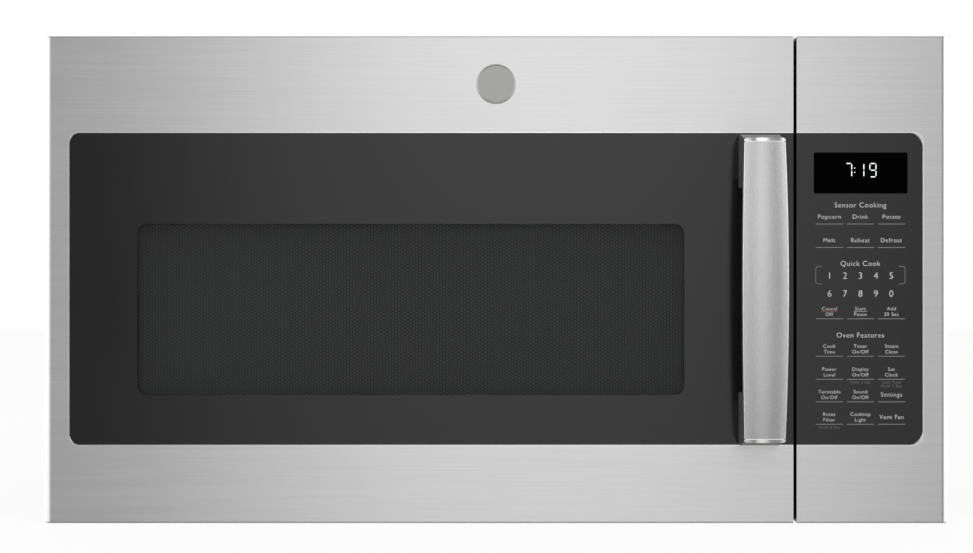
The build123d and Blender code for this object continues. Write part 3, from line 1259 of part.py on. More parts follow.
SKIN_END = 2.0              # folds end in front of the door's back
TONGUE_NOTCH = 1.2          # skin's notch round a hinge tongue, up and down
TONGUE_NOTCH_DEPTH = 2.5
GLASS_RUN = 60.0            # cut-out drawn on past the split
FACE_TOLERANCE = 0.01


def front_shell(x0, x1, edge_r, rolled_left):
    """Folded skin: front face, top and bottom folds and one rolled side."""
    outer = block(x0, x1, FACE_Y, BACK_Y - SKIN_END, FRONT_Z0, FRONT_Z1)
    inner = block(x0 + (SKIN if rolled_left else -CUT), x1 - (-CUT if rolled_left else SKIN),
                  FACE_Y + SKIN, BACK_Y + CUT, FRONT_Z0 + SKIN, FRONT_Z1 - SKIN)
    pick = 0 if rolled_left else -1
    upright = along_edges(outer, Axis.Z).group_by(Axis.X)[pick].group_by(Axis.Y)[0]
    outer = fillet(upright, edge_r)
    folds = along_edges(outer, Axis.X).group_by(Axis.Y)[0]
    outer = fillet(folds, FOLD_R)
    upright = along_edges(inner, Axis.Z).group_by(Axis.X)[pick].group_by(Axis.Y)[0]
    inner = fillet(upright, edge_r - SKIN)
    return outer - inner


def bevel_cutout(skin, x0, x1):
    """Break the front edge of the glass cut-out, whose rim lies between two places in X."""
    face = skin.edges().filter_by_position(Axis.Y, FACE_Y - FACE_TOLERANCE,
                                           FACE_Y + FACE_TOLERANCE)
    rim = [edge for edge in face if x0 < edge.center().X < x1
           and GLASS_Z0 - CUT < edge.center().Z < GLASS_Z1 + CUT]
    return chamfer(rim, CUTOUT_BEVEL)


def door_skin():
    """Stainless skin of the door."""
    skin = front_shell(DOOR_X0, DOOR_X1, DOOR_EDGE_R, True)
    skin -= block(DOOR_X0 - CUT, HINGE_X, HINGE_Y, BACK_Y + CUT, FRONT_Z0 - CUT, FRONT_Z1 + CUT)
    half = HINGE_PLATE_T / 2 + TONGUE_NOTCH
    for z in tongue_zs():
        skin -= block(DOOR_X0 - CUT, HINGE_X - HINGE_TONGUE_R,
                      HINGE_Y - HINGE_TONGUE_R - TONGUE_NOTCH_DEPTH, HINGE_Y + CUT,
                      z - half, z + half)
    x0 = DOOR_X0 + SIDE_BAND
    skin -= glass_outline(x0, DOOR_X1 + GLASS_RUN, GLASS_R_DOOR, FACE_Y - CUT,
                          FACE_Y + SKIN + CUT, 0)
    return bevel_cutout(skin, x0 - CUT, DOOR_X1 - CUT)


def door_glass():
    """Dark glass of the door, from the left band to the split."""
    x0 = DOOR_X0 + SIDE_BAND
    pane = glass_outline(x0, DOOR_X1 + GLASS_RUN, GLASS_R_DOOR, GLASS_Y, GLASS_BACK_Y,
                         -GLASS_EDGE_GAP)
    pane -= block(DOOR_X1, DOOR_X1 + 2 * GLASS_RUN, GLASS_Y - CUT, GLASS_BACK_Y + CUT,
                  0, CASE_HEIGHT)
    for z in post_zs():
        pane -= rod(HANDLE_SCREW_R, (HANDLE_X, GLASS_Y - CUT, z), GLASS_T + 2 * CUT, "Y")
    return pane


def control_skin():
    """Stainless skin of the control panel."""
    skin = front_shell(PANEL_X0, HALF, PANEL_EDGE_R, False)
    x1 = HALF - SIDE_BAND
    skin -= glass_outline(PANEL_X0 - GLASS_RUN, x1, GLASS_R_PANEL, FACE_Y - CUT,
                          FACE_Y + SKIN + CUT, 0)
    return bevel_cutout(skin, PANEL_X0 + CUT, x1 + CUT)


def control_glass():
    """Dark glass of the control panel."""
    x1 = HALF - SIDE_BAND
    pane = glass_outline(PANEL_X0 - GLASS_RUN, x1, GLASS_R_PANEL, GLASS_Y, GLASS_BACK_Y,
                         -GLASS_EDGE_GAP)
    return pane - block(PANEL_X0 - 2 * GLASS_RUN, PANEL_X0, GLASS_Y - CUT, GLASS_BACK_Y + CUT,
                        0, CASE_HEIGHT)


# --- door -----------------------------------------------------------------------------
TONGUE_TO_FRAME = 2.0       # hinge tongue to the plastic frame's side
SLIDER_DEPTH = 24.0         # latch slider behind the door's face
SLIDER_REACH = 26.0         # slider beyond the hooks, up and down
FRAME_X0 = HINGE_X + HINGE_TONGUE_R + TONGUE_TO_FRAME
SCREEN_X0 = WINDOW_X0 - SCREEN_MARGIN
SCREEN_X1 = WINDOW_X1 + SCREEN_MARGIN
SCREEN_Z0 = WINDOW_Z0 - SCREEN_MARGIN
SCREEN_Z1 = WINDOW_Z1 + SCREEN_MARGIN
SCREEN_FLAT_Y = FACE_Y + CHOKE_DEPTH_FRONT - SCREEN_T
SLIDER_Y = FACE_Y + SLIDER_DEPTH
SLIDER_Z0 = LATCH_ARM_ZS[0] - SLIDER_REACH
SLIDER_Z1 = LATCH_ARM_ZS[1] + SLIDER_REACH


def hinge_shelf_zs():
    """Lower and upper shelf, each as its bottom, its top and its side facing the tongue."""
    low, high = tongue_zs()
    away = HINGE_PLATE_T / 2 + SEAT_GAP + BUSH_FLANGE_T
    return [(low + away, low + away + HINGE_SHELF_T, 1),
            (high - away - HINGE_SHELF_T, high - away, -1)]


RIB_T = 2.0
SCREEN_OPENING = 3.0        # frame's opening round the raised screen
SCREEN_OPENING_R = 12.0
CHOKE_RIB_INSET = 4.0       # rib that carries the choke, inside its outer side
CHOKE_RIB_END = 6.0
TOP_RIBS = 4
TOP_RIB_GAP = 8.0           # ribs above the choke
TOP_RIB_RECESS = 6.0
SHELF_R = 7.5
RAIL_REACH = 2.0            # latch guides beyond the slider's back
RAIL_END = 10.0             # guides inside the slider's ends
LIP_W = 1.5
LIP_T = 1.7
LIP_HALF_H = 5.0
LIP_FROM_END = 16.0
STOP_W = 10.0
STOP_T = 3.0
SCREW_BOSS_R = 6.0


def frame_body():
    """Tray of the frame with its window opening."""
    z0 = FRONT_Z0 + SKIN + FRAME_CLEAR
    z1 = FRONT_Z1 - SKIN - FRAME_CLEAR
    y0 = GLASS_BACK_Y
    y1 = BACK_Y - COVER_T
    tray = block(FRAME_X0, DOOR_X1, y0, y1, z0, z1)
    tray -= block(FRAME_X0 + MOULD_T, DOOR_X1 - MOULD_T, y0 + MOULD_T, y1 + CUT,
                  z0 + MOULD_T, z1 - MOULD_T)
    gap = SCREEN_OPENING
    return tray - slab_xz(SCREEN_X0 - gap, SCREEN_X1 + gap, SCREEN_Z0 - gap, SCREEN_Z1 + gap,
                          SCREEN_OPENING_R, y0 - CUT, y0 + MOULD_T + CUT)


def frame_ribs():
    """Ribs under the choke and short ribs above it."""
    floor_y = GLASS_BACK_Y + MOULD_T
    choke_y = FACE_Y + CHOKE_DEPTH_FRONT
    half = RIB_T / 2
    ribs = []
    for x in (CHOKE_X0 + CHOKE_RIB_INSET, CHOKE_X1 - CHOKE_RIB_INSET):
        ribs.append(block(x - half, x + half, floor_y, choke_y, CHOKE_Z0 + CHOKE_RIB_END,
                          CHOKE_Z1 - CHOKE_RIB_END))
    for z in (CHOKE_Z0 + CHOKE_RIB_INSET, CHOKE_Z1 - CHOKE_RIB_INSET):
        ribs.append(block(CHOKE_X0 + CHOKE_RIB_END, CHOKE_X1 - CHOKE_RIB_END, floor_y, choke_y,
                          z - half, z + half))
    top = FRONT_Z1 - SKIN - FRAME_CLEAR - MOULD_T
    for i in range(TOP_RIBS):
        x = FRAME_X0 + (i + 1) * (DOOR_X1 - FRAME_X0) / (TOP_RIBS + 1)
        ribs.append(block(x - half, x + half, floor_y, BACK_Y - COVER_T - TOP_RIB_RECESS,
                          CHOKE_Z1 + TOP_RIB_GAP, top))
    return ribs


def latch_guide(side):
    """Rail on one side of the latch slider with the lips that keep it in."""
    floor_y = GLASS_BACK_Y + MOULD_T
    x = LATCH_X + side * (LATCH_SLIDER_W / 2 + SEAT_GAP)
    out = x + side * RAIL_REACH
    low = SLIDER_Z0 + RAIL_END
    high = SLIDER_Z1 - RAIL_END
    rail = block(min(x, out), max(x, out), floor_y, SLIDER_Y + LATCH_SLIDER_T + RAIL_REACH,
                 low, high)
    inward = x - side * LIP_W
    lip_y = SLIDER_Y + LATCH_SLIDER_T + SEAT_GAP
    for z in (SLIDER_Z0 + LIP_FROM_END, (SLIDER_Z0 + SLIDER_Z1) / 2, SLIDER_Z1 - LIP_FROM_END):
        rail += block(min(inward, x), max(inward, x), lip_y, lip_y + LIP_T, z - LIP_HALF_H,
                      z + LIP_HALF_H)
    return rail + block(min(inward, x), max(inward, x), floor_y, SLIDER_Y - SEAT_GAP, low, high)


def door_frame():
    """Moulded tray behind the glass: window opening, ribs, bush shelves, latch guides."""
    floor_y = GLASS_BACK_Y + MOULD_T
    tray = frame_body()
    for rib in frame_ribs():
        tray += rib
    for low, high, _ in hinge_shelf_zs():
        tray += block(HINGE_X, FRAME_X0, HINGE_Y - SHELF_R, HINGE_Y + SHELF_R, low, high)
        tray += rod(SHELF_R, (HINGE_X, HINGE_Y, low), high - low)
        tray -= rod(HINGE_PIN_R + PIN_CLEAR + BUSH_T, (HINGE_X, HINGE_Y, low - CUT),
                    HINGE_SHELF_T + 2 * CUT)
    for side in (-1, 1):
        tray += latch_guide(side)
    half = STOP_W / 2
    stop = SLIDER_Z0 - SEAT_GAP
    back = SLIDER_Y + LATCH_SLIDER_T
    tray += block(LATCH_X - half, LATCH_X + half, floor_y, back, stop - STOP_T, stop)
    seat = spring_top()
    tray += block(LATCH_X - half, LATCH_X + half, floor_y, back + RAIL_REACH, seat,
                  seat + STOP_T)
    for z in post_zs():
        tray += rod(SCREW_BOSS_R, (HANDLE_X, floor_y, z), MOULD_T, "Y")
        tray -= rod(HANDLE_SCREW_R, (HANDLE_X, GLASS_BACK_Y - CUT, z), 4 * MOULD_T, "Y")
    return tray


SPRING_R = 3.0
SPRING_WIRE_R = 0.45
SPRING_LENGTH = 24.0
SPRING_TURNS = 7


def spring_top():
    """Height of the spring's upper seat."""
    return SLIDER_Z1 + SEAT_GAP + SPRING_LENGTH


def latch_spring():
    """Coil spring that pushes the latch down, seated under its stop in the door."""
    z = spring_top() - SPRING_LENGTH + SPRING_WIRE_R
    y = SLIDER_Y + LATCH_SLIDER_T / 2
    height = SPRING_LENGTH - 2 * SPRING_WIRE_R
    path = Helix(pitch=height / SPRING_TURNS, height=height, radius=SPRING_R)
    section = Plane(origin=path @ 0, z_dir=path % 0) * RegularPolygon(SPRING_WIRE_R, 4)
    coil = sweep(section, path=path, is_frenet=True)
    return Pos(LATCH_X, y, z) * coil


def door_bushes():
    """Flanged plastic bushes for the two hinge pins."""
    bushes = []
    bore = HINGE_PIN_R + PIN_CLEAR
    for low, high, turn in hinge_shelf_zs():
        tube = rod(bore + BUSH_T, (HINGE_X, HINGE_Y, low), high - low)
        flange_z = low - BUSH_FLANGE_T if turn > 0 else high
        tube += rod(bore + 2 * BUSH_T, (HINGE_X, HINGE_Y, flange_z), BUSH_FLANGE_T)
        bushes.append(tube - rod(bore, (HINGE_X, HINGE_Y, low - 2 * CUT),
                                 HINGE_SHELF_T + 4 * CUT))
    return join(bushes)


SCREEN_INSET = 10.0         # screen's edge inside the choke's outer side
SCREEN_EDGE_R = 8.0
SCREEN_RAISED_R = 9.0
SCREEN_LAP = 0.1


def window_screen():
    """Steel screen with its raised middle; its holes are too fine to model here."""
    flat = slab_xz(CHOKE_X0 + SCREEN_INSET, CHOKE_X1 - SCREEN_INSET, CHOKE_Z0 + SCREEN_INSET,
                   CHOKE_Z1 - SCREEN_INSET, SCREEN_EDGE_R, SCREEN_FLAT_Y,
                   SCREEN_FLAT_Y + SCREEN_T)
    face_y = GLASS_BACK_Y + SCREEN_BEHIND_GLASS
    raised = slab_xz(SCREEN_X0, SCREEN_X1, SCREEN_Z0, SCREEN_Z1, SCREEN_RAISED_R, face_y,
                     SCREEN_FLAT_Y + SCREEN_LAP)
    hollow = slab_xz(SCREEN_X0 + SCREEN_T, SCREEN_X1 - SCREEN_T, SCREEN_Z0 + SCREEN_T,
                     SCREEN_Z1 - SCREEN_T, SCREEN_EDGE_R, face_y + SCREEN_T,
                     SCREEN_FLAT_Y + 2 * CUT)
    return flat + raised - hollow


CHOKE_T = 1.0               # walls of the channel
CHOKE_OUTER_R = 5.0
CHOKE_INNER_R = 3.0
CHOKE_CHANNEL_R = 4.0
CHOKE_SLOT_REACH = 1.0      # slots past the wall they cut
CHOKE_SLOT_END = 10.0       # slots stop short of the corners


def choke_rect(inset, radius, y0, y1):
    """Slab as large as the choke's outer sides less an inset."""
    return slab_xz(CHOKE_X0 + inset, CHOKE_X1 - inset, CHOKE_Z0 + inset, CHOKE_Z1 - inset,
                   radius, y0, y1)


def slot_places(low, high):
    """Middles of the slots along one side of the choke."""
    span = high - low - 2 * (CHOKE_WIDTH + CHOKE_SLOT_END)
    count = int(span / CHOKE_PITCH) + 1
    middle = (low + high) / 2
    return [middle + (i - (count - 1) / 2) * CHOKE_PITCH for i in range(count)]


def door_choke():
    """Channel round the window with its row of slots, which keeps the microwaves in."""
    y0 = FACE_Y + CHOKE_DEPTH_FRONT
    y1 = FACE_Y + CHOKE_DEPTH_BACK
    w = CHOKE_WIDTH
    ring = choke_rect(0, CHOKE_OUTER_R, y0, y1)
    ring -= choke_rect(w, CHOKE_INNER_R, y0 - CUT, y1 + CUT)
    channel = choke_rect(CHOKE_T, CHOKE_CHANNEL_R, y0 + CHOKE_T, y1 + CUT)
    ring -= channel - choke_rect(w - CHOKE_T, CHOKE_CHANNEL_R, y0, y1 + 2 * CUT)
    cut_y0 = y1 - CHOKE_SLOT_DEPTH
    half = CHOKE_SLOT / 2
    reach = CHOKE_SLOT_REACH
    inset = w - CHOKE_T / 2
    slots = []
    for x in slot_places(CHOKE_X0, CHOKE_X1):
        for z in (CHOKE_Z0 + inset, CHOKE_Z1 - inset):
            slots.append(block(x - half, x + half, cut_y0, y1 + CUT, z - reach, z + reach))
    for z in slot_places(CHOKE_Z0, CHOKE_Z1):
        for x in (CHOKE_X0 + inset, CHOKE_X1 - inset):
            slots.append(block(x - reach, x + reach, cut_y0, y1 + CUT, z - half, z + half))
    return ring - slots


COVER_R = 2.0
COVER_WINDOW_R = 10.0
HOOK_PORT_CLEAR = 0.8
INNER_WINDOW_CLEAR = 0.5
INNER_WINDOW_R = 3.0


def choke_cover():
    """Plastic back of the door, open at the window and where the hooks come through."""
    z0 = FRONT_Z0 + SKIN + FRAME_CLEAR
    z1 = FRONT_Z1 - SKIN - FRAME_CLEAR
    y0 = BACK_Y - COVER_T - CUT
    y1 = BACK_Y + CUT
    cover = slab_xz(FRAME_X0, DOOR_X1, z0, z1, COVER_R, BACK_Y - COVER_T, BACK_Y)
    cover -= choke_rect(CHOKE_WIDTH + INNER_LEDGE, COVER_WINDOW_R, y0, y1)
    half = LATCH_ARM_W / 2 + HOOK_PORT_CLEAR
    for arm_z in LATCH_ARM_ZS:
        low = arm_z - LATCH_ARM_H / 2 - LATCH_NOSE - HOOK_PORT_CLEAR
        high = arm_z + LATCH_ARM_H / 2 + LATCH_TRAVEL + HOOK_PORT_CLEAR
        cover -= block(LATCH_X - half, LATCH_X + half, y0, y1, low, high)
    return cover


def inner_window():
    """Clear sheet on the cavity side, held behind the ledge of the cover."""
    y1 = BACK_Y - COVER_T
    return choke_rect(CHOKE_WIDTH + INNER_WINDOW_CLEAR, INNER_WINDOW_R, y1 - INNER_WINDOW_T, y1)


NOSE_CLEAR = 1.0            # nose behind the front frame's sheet
NOSE_T = 5.0
NOSE_RAMP = 5.0
HOOK_BEVEL = 2.0


def latch_hooks():
    """Two hooks on one slider; the noses catch behind the front frame."""
    y0 = SLIDER_Y
    slider = block(LATCH_X - LATCH_SLIDER_W / 2, LATCH_X + LATCH_SLIDER_W / 2, y0,
                   y0 + LATCH_SLIDER_T, SLIDER_Z0, SLIDER_Z1)
    tip_y = FRAME_Y + LATCH_REACH
    nose_y = FRAME_Y + SHEET + NOSE_CLEAR
    side = Plane(origin=(LATCH_X - LATCH_ARM_W / 2, 0, 0), x_dir=(0, 1, 0), z_dir=(1, 0, 0))
    for z in LATCH_ARM_ZS:
        low = z - LATCH_ARM_H / 2
        high = z + LATCH_ARM_H / 2
        outline = Polyline((y0, low), (nose_y, low), (nose_y, low - LATCH_NOSE),
                           (nose_y + NOSE_T, low - LATCH_NOSE), (tip_y, low + NOSE_RAMP),
                           (tip_y, high - HOOK_BEVEL), (tip_y - HOOK_BEVEL, high), (y0, high),
                           close=True)
        slider += extrude(side * make_face(outline), amount=LATCH_ARM_W)
    return slider


# --- handle ---------------------------------------------------------------------------
def post_zs():
    """Middle heights of the lower and upper handle posts."""
    reach = HANDLE_END + POST_OVERHANG - POST_LENGTH / 2
    return [HANDLE_Z - reach, HANDLE_Z + reach]


def handle_width(z):
    """Bar width at a height above the middle of the handle."""
    share = (2 * z / HANDLE_LENGTH) ** 2
    return HANDLE_WIDTH_MID - (HANDLE_WIDTH_MID - HANDLE_WIDTH_END) * share


def handle_stand(z):
    """Distance of the bar's outermost line from the glass at a height."""
    share = (2 * z / HANDLE_LENGTH) ** 2
    return HANDLE_STAND_MID - (HANDLE_STAND_MID - HANDLE_STAND_END) * share


def handle_section(z):
    """Cross-section of the bar: flat back, rounded corners and a crowned face."""
    half = handle_width(z) / 2
    front = GLASS_Y - handle_stand(z)
    r = HANDLE_EDGE_R
    back = front + HANDLE_T
    brow = front + HANDLE_CROWN
    bulge = r * (1 - math.sqrt(0.5))
    edges = [
        ThreePointArc((-half + r, brow), (0, front), (half - r, brow)),
        ThreePointArc((half - r, brow), (half - bulge, brow + bulge), (half, brow + r)),
        Line((half, brow + r), (half, back - r)),
        ThreePointArc((half, back - r), (half - bulge, back - bulge), (half - r, back)),
        Line((half - r, back), (-half + r, back)),
        ThreePointArc((-half + r, back), (-half + bulge, back - bulge), (-half, back - r)),
        Line((-half, back - r), (-half, brow + r)),
        ThreePointArc((-half, brow + r), (-half + bulge, brow + bulge), (-half + r, brow)),
    ]
    return Pos(HANDLE_X, 0, HANDLE_Z + z) * make_face(edges)


def bar_between(z0, z1, stations):
    """Loft of the handle's cross-section between two heights."""
    step = (z1 - z0) / (stations - 1)
    return loft([handle_section(z0 + i * step) for i in range(stations)])


def handle_bar():
    """Bowed bar, a little wider in the middle."""
    bar = bar_between(-HANDLE_LENGTH / 2, HANDLE_LENGTH / 2, HANDLE_STATIONS)
    y0 = GLASS_Y - HANDLE_STAND_END + HANDLE_SCREW_TIP
    for z in post_zs():
        bar -= rod(HANDLE_SCREW_R, (HANDLE_X, y0, z), 2 * HANDLE_T, "Y")
    return bar


def handle_cap(end):
    """Polished cap with rounded corners, on a neck that leaves a groove beside the bar."""
    z0 = end * (HANDLE_LENGTH / 2 + HANDLE_SEAM)
    z1 = end * HANDLE_END
    cap = bar_between(min(z0, z1), max(z0, z1), 2)
    half = handle_width(HANDLE_END) / 2
    front = GLASS_Y - HANDLE_STAND_MID - HANDLE_T
    inner = HANDLE_Z - end * HANDLE_CAP_R
    outer = HANDLE_Z + z1
    cap &= slab_xz(HANDLE_X - half, HANDLE_X + half, min(inner, outer), max(inner, outer),
                   HANDLE_CAP_R, front, GLASS_Y)
    neck = half - HANDLE_SEAM_DEPTH
    face = GLASS_Y - HANDLE_STAND_END + HANDLE_CROWN + HANDLE_SEAM_DEPTH
    foot = HANDLE_Z + end * HANDLE_LENGTH / 2
    head = HANDLE_Z + z0 + end * HANDLE_CAP_T / 2
    return cap + block(HANDLE_X - neck, HANDLE_X + neck, face,
                       GLASS_Y - HANDLE_STAND_END + HANDLE_T - HANDLE_SEAM_DEPTH,
                       min(foot, head), max(foot, head))


def handle_caps():
    """Polished caps on the ends of the bar."""
    return join([handle_cap(-1), handle_cap(1)])


def handle_posts():
    """Two chamfered posts between the glass and the bar."""
    posts = []
    half = HANDLE_WIDTH_END / 2 - POST_INSET
    bar = handle_bar_envelope()
    for z in post_zs():
        out = 1 if z > HANDLE_Z else -1
        tall = POST_LENGTH / 2
        front = GLASS_Y - HANDLE_STAND_MID
        side = Plane(origin=(HANDLE_X - half, 0, z), x_dir=(0, 1, 0), z_dir=(1, 0, 0))
        outline = Polyline((GLASS_Y, -tall * out), (GLASS_Y, tall * out),
                           (GLASS_Y - POST_FOOT_T, tall * out),
                           (front, (tall - POST_OVERHANG - HANDLE_CAP_T) * out),
                           (front, -(tall - POST_CHAMFER) * out),
                           (GLASS_Y - POST_TOE_T, -(tall - POST_CHAMFER) * out), close=True)
        post = extrude(side * make_face(outline), amount=2 * half)
        post = (post - bar).solids().sort_by(Axis.Y)[-1]
        post -= rod(HANDLE_SCREW_R, (HANDLE_X, front, z), 2 * HANDLE_STAND_MID, "Y")
        posts.append(post)
    return join(posts)


def handle_bar_envelope():
    """Bar and everything in front of it, for cutting the posts to the bar's back."""
    reach = HANDLE_END + 2 * POST_OVERHANG
    return Pos(0, POST_GAP, 0) * bar_between(-reach, reach, HANDLE_STATIONS)


def handle_screws():
    """Screws from inside the door through the posts into the bar."""
    screws = []
    y0 = GLASS_Y - HANDLE_STAND_END + HANDLE_SCREW_TIP + POST_GAP
    y1 = GLASS_BACK_Y + 2 * MOULD_T
    for z in post_zs():
        shank = rod(HANDLE_SCREW_R, (HANDLE_X, y0, z), y1 - y0, "Y")
        screws.append(shank + rod(HANDLE_HEAD_R, (HANDLE_X, y1, z), HANDLE_HEAD_T, "Y"))
    return join(screws)


# --- turntable ------------------------------------------------------------------------
COUPLER_LIFT = 2.0          # hub above the cavity floor
COUPLER_GAP = 1.0           # hub below the tray
COUPLER_CORE = 5.0          # hub's core inside the lobes' reach
LOBE_INSET = 6.0            # lobe's middle inside the hub's reach
LOBE_R = 4.0
SHAFT_FOOT = 4.0            # shaft's end above the motor's underside


def turntable_coupler():
    """Lobed drive hub with its shaft down into the motor."""
    z0 = CAVITY_FLOOR + COUPLER_LIFT
    height = TRAY_Z - COUPLER_GAP - z0
    hub = rod(COUPLER_R - COUPLER_CORE, (CAVITY_X, CAVITY_Y, z0), height)
    for i in range(COUPLER_LOBES):
        lobe = rod(LOBE_R, (COUPLER_R - LOBE_INSET, 0, 0), height)
        hub += Pos(CAVITY_X, CAVITY_Y, z0) * Rot(0, 0, 360 / COUPLER_LOBES * i) * lobe
    shaft_z0 = CAVITY_FLOOR - SHEET - TURNTABLE_MOTOR_H + SHAFT_FOOT
    return hub + rod(COUPLER_SHAFT_R, (CAVITY_X, CAVITY_Y, shaft_z0), z0 - shaft_z0)


RIM_FOOT = 16.0             # tray's rim, from its edge inwards
RIM_BELLY = 6.0
RIM_BELLY_H = 0.3           # share of the rim's height
RIM_T = 3.5
RIM_LIP = 0.6
RIM_BELLY_T = 2.5
RIM_BELLY_RISE = 0.8        # share of the tray's thickness
LUG_CLEAR = 3.0
LUG_W = 12.0
LUG_T = 6.0
LUG_H = 7.0


def glass_tray():
    """Round glass tray with a raised rim and three lugs round the drive hub."""
    floor = TRAY_Z
    top = TRAY_Z + TRAY_T
    r = TRAY_R
    rim_z = floor + TRAY_RIM_H
    belly_z = floor + TRAY_RIM_H * RIM_BELLY_H
    under = ((r - RIM_FOOT, floor), (r - RIM_BELLY, belly_z), (r, rim_z))
    over = ((r - RIM_T, rim_z + RIM_LIP),
            (r - RIM_BELLY - RIM_BELLY_T, belly_z + TRAY_T * RIM_BELLY_RISE),
            (r - RIM_FOOT - CUT, top))
    outline = [
        Line((0, floor), under[0]),
        ThreePointArc(*under),
        Line(under[2], over[0]),
        ThreePointArc(*over),
        Line(over[2], (0, top)),
        Line((0, top), (0, floor)),
    ]
    profile = Plane.XZ * make_face(outline)
    tray = Pos(CAVITY_X, CAVITY_Y, 0) * revolve(profile, Axis.Z)
    lug_x = COUPLER_R + LUG_CLEAR
    lug = block(lug_x - LUG_T / 2, lug_x + LUG_T / 2, -LUG_W / 2, LUG_W / 2, -LUG_H, 0)
    for i in range(COUPLER_LOBES):
        turn = 360 / COUPLER_LOBES * (i + 0.5)
        tray += Pos(CAVITY_X, CAVITY_Y, TRAY_Z) * Rot(0, 0, turn) * lug
    return tray


def ring_turn(i):
    """Frame of one roller: its X axis runs outwards through the axle."""
    return Pos(CAVITY_X, CAVITY_Y, ROLLER_Z) * Rot(0, 0, 90 + 360 / ROLLER_COUNT * i)


RING_TO_WHEEL = 2.0
BOSS_R = 4.2
BOSS_LAP = 3.0              # boss and axle run back into the ring
BOSS_LENGTH = 4.5
AXLE_LAP = 1.0
AXLE_PAST_WHEEL = 6.0
STOP_LIP = 0.9
STOP_LENGTH = 1.2
STOP_FROM_RING = 5.2        # outer stop from the ring, less half a wheel
WHEEL_CHAMFER = 0.8


def roller_ring():
    """Ring with three arms' worth of stub axles."""
    outer = ROLLER_TRACK_R - ROLLER_T / 2 - RING_TO_WHEEL
    inner = outer - RING_SECTION
    half = RING_SECTION / 2
    ring = rod(outer, (CAVITY_X, CAVITY_Y, ROLLER_Z - half), RING_SECTION)
    ring -= rod(inner, (CAVITY_X, CAVITY_Y, ROLLER_Z - half - CUT), RING_SECTION + 2 * CUT)
    boss = rod(BOSS_R, (outer - BOSS_LAP, 0, 0), BOSS_LENGTH, "X")
    axle = rod(AXLE_R, (outer - AXLE_LAP, 0, 0), ROLLER_T + AXLE_PAST_WHEEL, "X")
    stop_x = outer + STOP_FROM_RING + ROLLER_T / 2
    arm = boss + axle + rod(AXLE_R + STOP_LIP, (stop_x, 0, 0), STOP_LENGTH, "X")
    for i in range(ROLLER_COUNT):
        ring += ring_turn(i) * arm
    return ring


def roller_wheel(i):
    """Wheel on one stub axle."""
    x0 = ROLLER_TRACK_R - ROLLER_T / 2
    wheel = rod(ROLLER_R, (x0, 0, 0), ROLLER_T, "X")
    wheel = chamfer(wheel.edges().filter_by(GeomType.CIRCLE), WHEEL_CHAMFER)
    wheel -= rod(AXLE_R + AXLE_CLEAR, (x0 - CUT, 0, 0), ROLLER_T + 2 * CUT, "X")
    return ring_turn(i) * wheel


# --- vent blower ----------------------------------------------------------------------
SCROLL_START = 100.0        # cut-off and throat, in degrees round the shaft
SCROLL_END = 360.0
SCROLL_STEPS = 8
SCROLL_LEAVE = (-1, -0.15)  # direction of the spiral at the cut-off
THROAT_LAP = 2.0            # hollow runs on through the top of the throat
EYE_LAP = 1.0               # air eye wider than the wheel's bore
HOUSING_FOOT_D = 40.0
HOUSING_FOOT_W = 16.0
FOOT_T = 1.5


def scroll_outline(extra):
    """Spiral of the blower scroll with its straight throat, in Y and Z round the shaft."""
    r0 = WHEEL_R + SCROLL_CLEAR + extra
    points = []
    for i in range(SCROLL_STEPS + 1):
        share = i / SCROLL_STEPS
        angle = math.radians(SCROLL_START + (SCROLL_END - SCROLL_START) * share)
        r = r0 + SCROLL_GROWTH * share
        points.append((r * math.cos(angle), r * math.sin(angle)))
    top = CASE_HEIGHT - SHEET - BLOWER_Z
    first = points[0]
    last = points[-1]
    spiral = Spline(*points, tangents=[SCROLL_LEAVE, (0, 1)])
    return make_face([spiral, Line(last, (last[0], top)), Line((last[0], top), (first[0], top)),
                      Line((first[0], top), first)])


def scroll(x):
    """One scroll with its two side walls and inlets."""
    half = WHEEL_LENGTH / 2 + SCROLL_SIDE_GAP + SCROLL_WALL
    plane = Plane(origin=(x - half, BLOWER_Y, BLOWER_Z), x_dir=(0, 1, 0), z_dir=(1, 0, 0))
    outer = extrude(plane * scroll_outline(SCROLL_WALL), amount=2 * half)
    inside = Plane(origin=(x - half + SCROLL_WALL, BLOWER_Y, BLOWER_Z), x_dir=(0, 1, 0),
                   z_dir=(1, 0, 0))
    hollow = extrude(inside * scroll_outline(0), amount=2 * (half - SCROLL_WALL))
    hollow += Pos(0, 0, THROAT_LAP) * hollow
    eye = WHEEL_R - WHEEL_BLADE_DEPTH + EYE_LAP
    return outer - hollow - rod(eye, (x - half - CUT, BLOWER_Y, BLOWER_Z),
                                2 * (half + CUT), "X")


def blower_housing():
    """Twin scroll housing with its mounting rails on the cavity roof."""
    housing = scroll(-WHEEL_CENTRE_X) + scroll(WHEEL_CENTRE_X)
    y0 = BLOWER_Y - HOUSING_FOOT_D / 2
    y1 = BLOWER_Y + HOUSING_FOOT_D / 2
    base = CEILING + SHEET
    for side in (-1, 1):
        x = side * (WHEEL_CENTRE_X + WHEEL_LENGTH / 2 + SCROLL_SIDE_GAP)
        wall_x = x + side * SCROLL_WALL
        foot_x = x + side * HOUSING_FOOT_W
        housing += block(min(x, wall_x), max(x, wall_x), y0, y1, base, BLOWER_Z - WHEEL_R)
        housing += block(min(x, foot_x), max(x, foot_x), y0, y1, base, base + FOOT_T)
    return housing


CAN_CHAMFER = 3.0
CRADLE_W = 36.0
CRADLE_D = 48.0
CRADLE_WALL = 3.0
CRADLE_TOP = 16.0           # cradle's top below the shaft
CRADLE_FOOT_D = 68.0


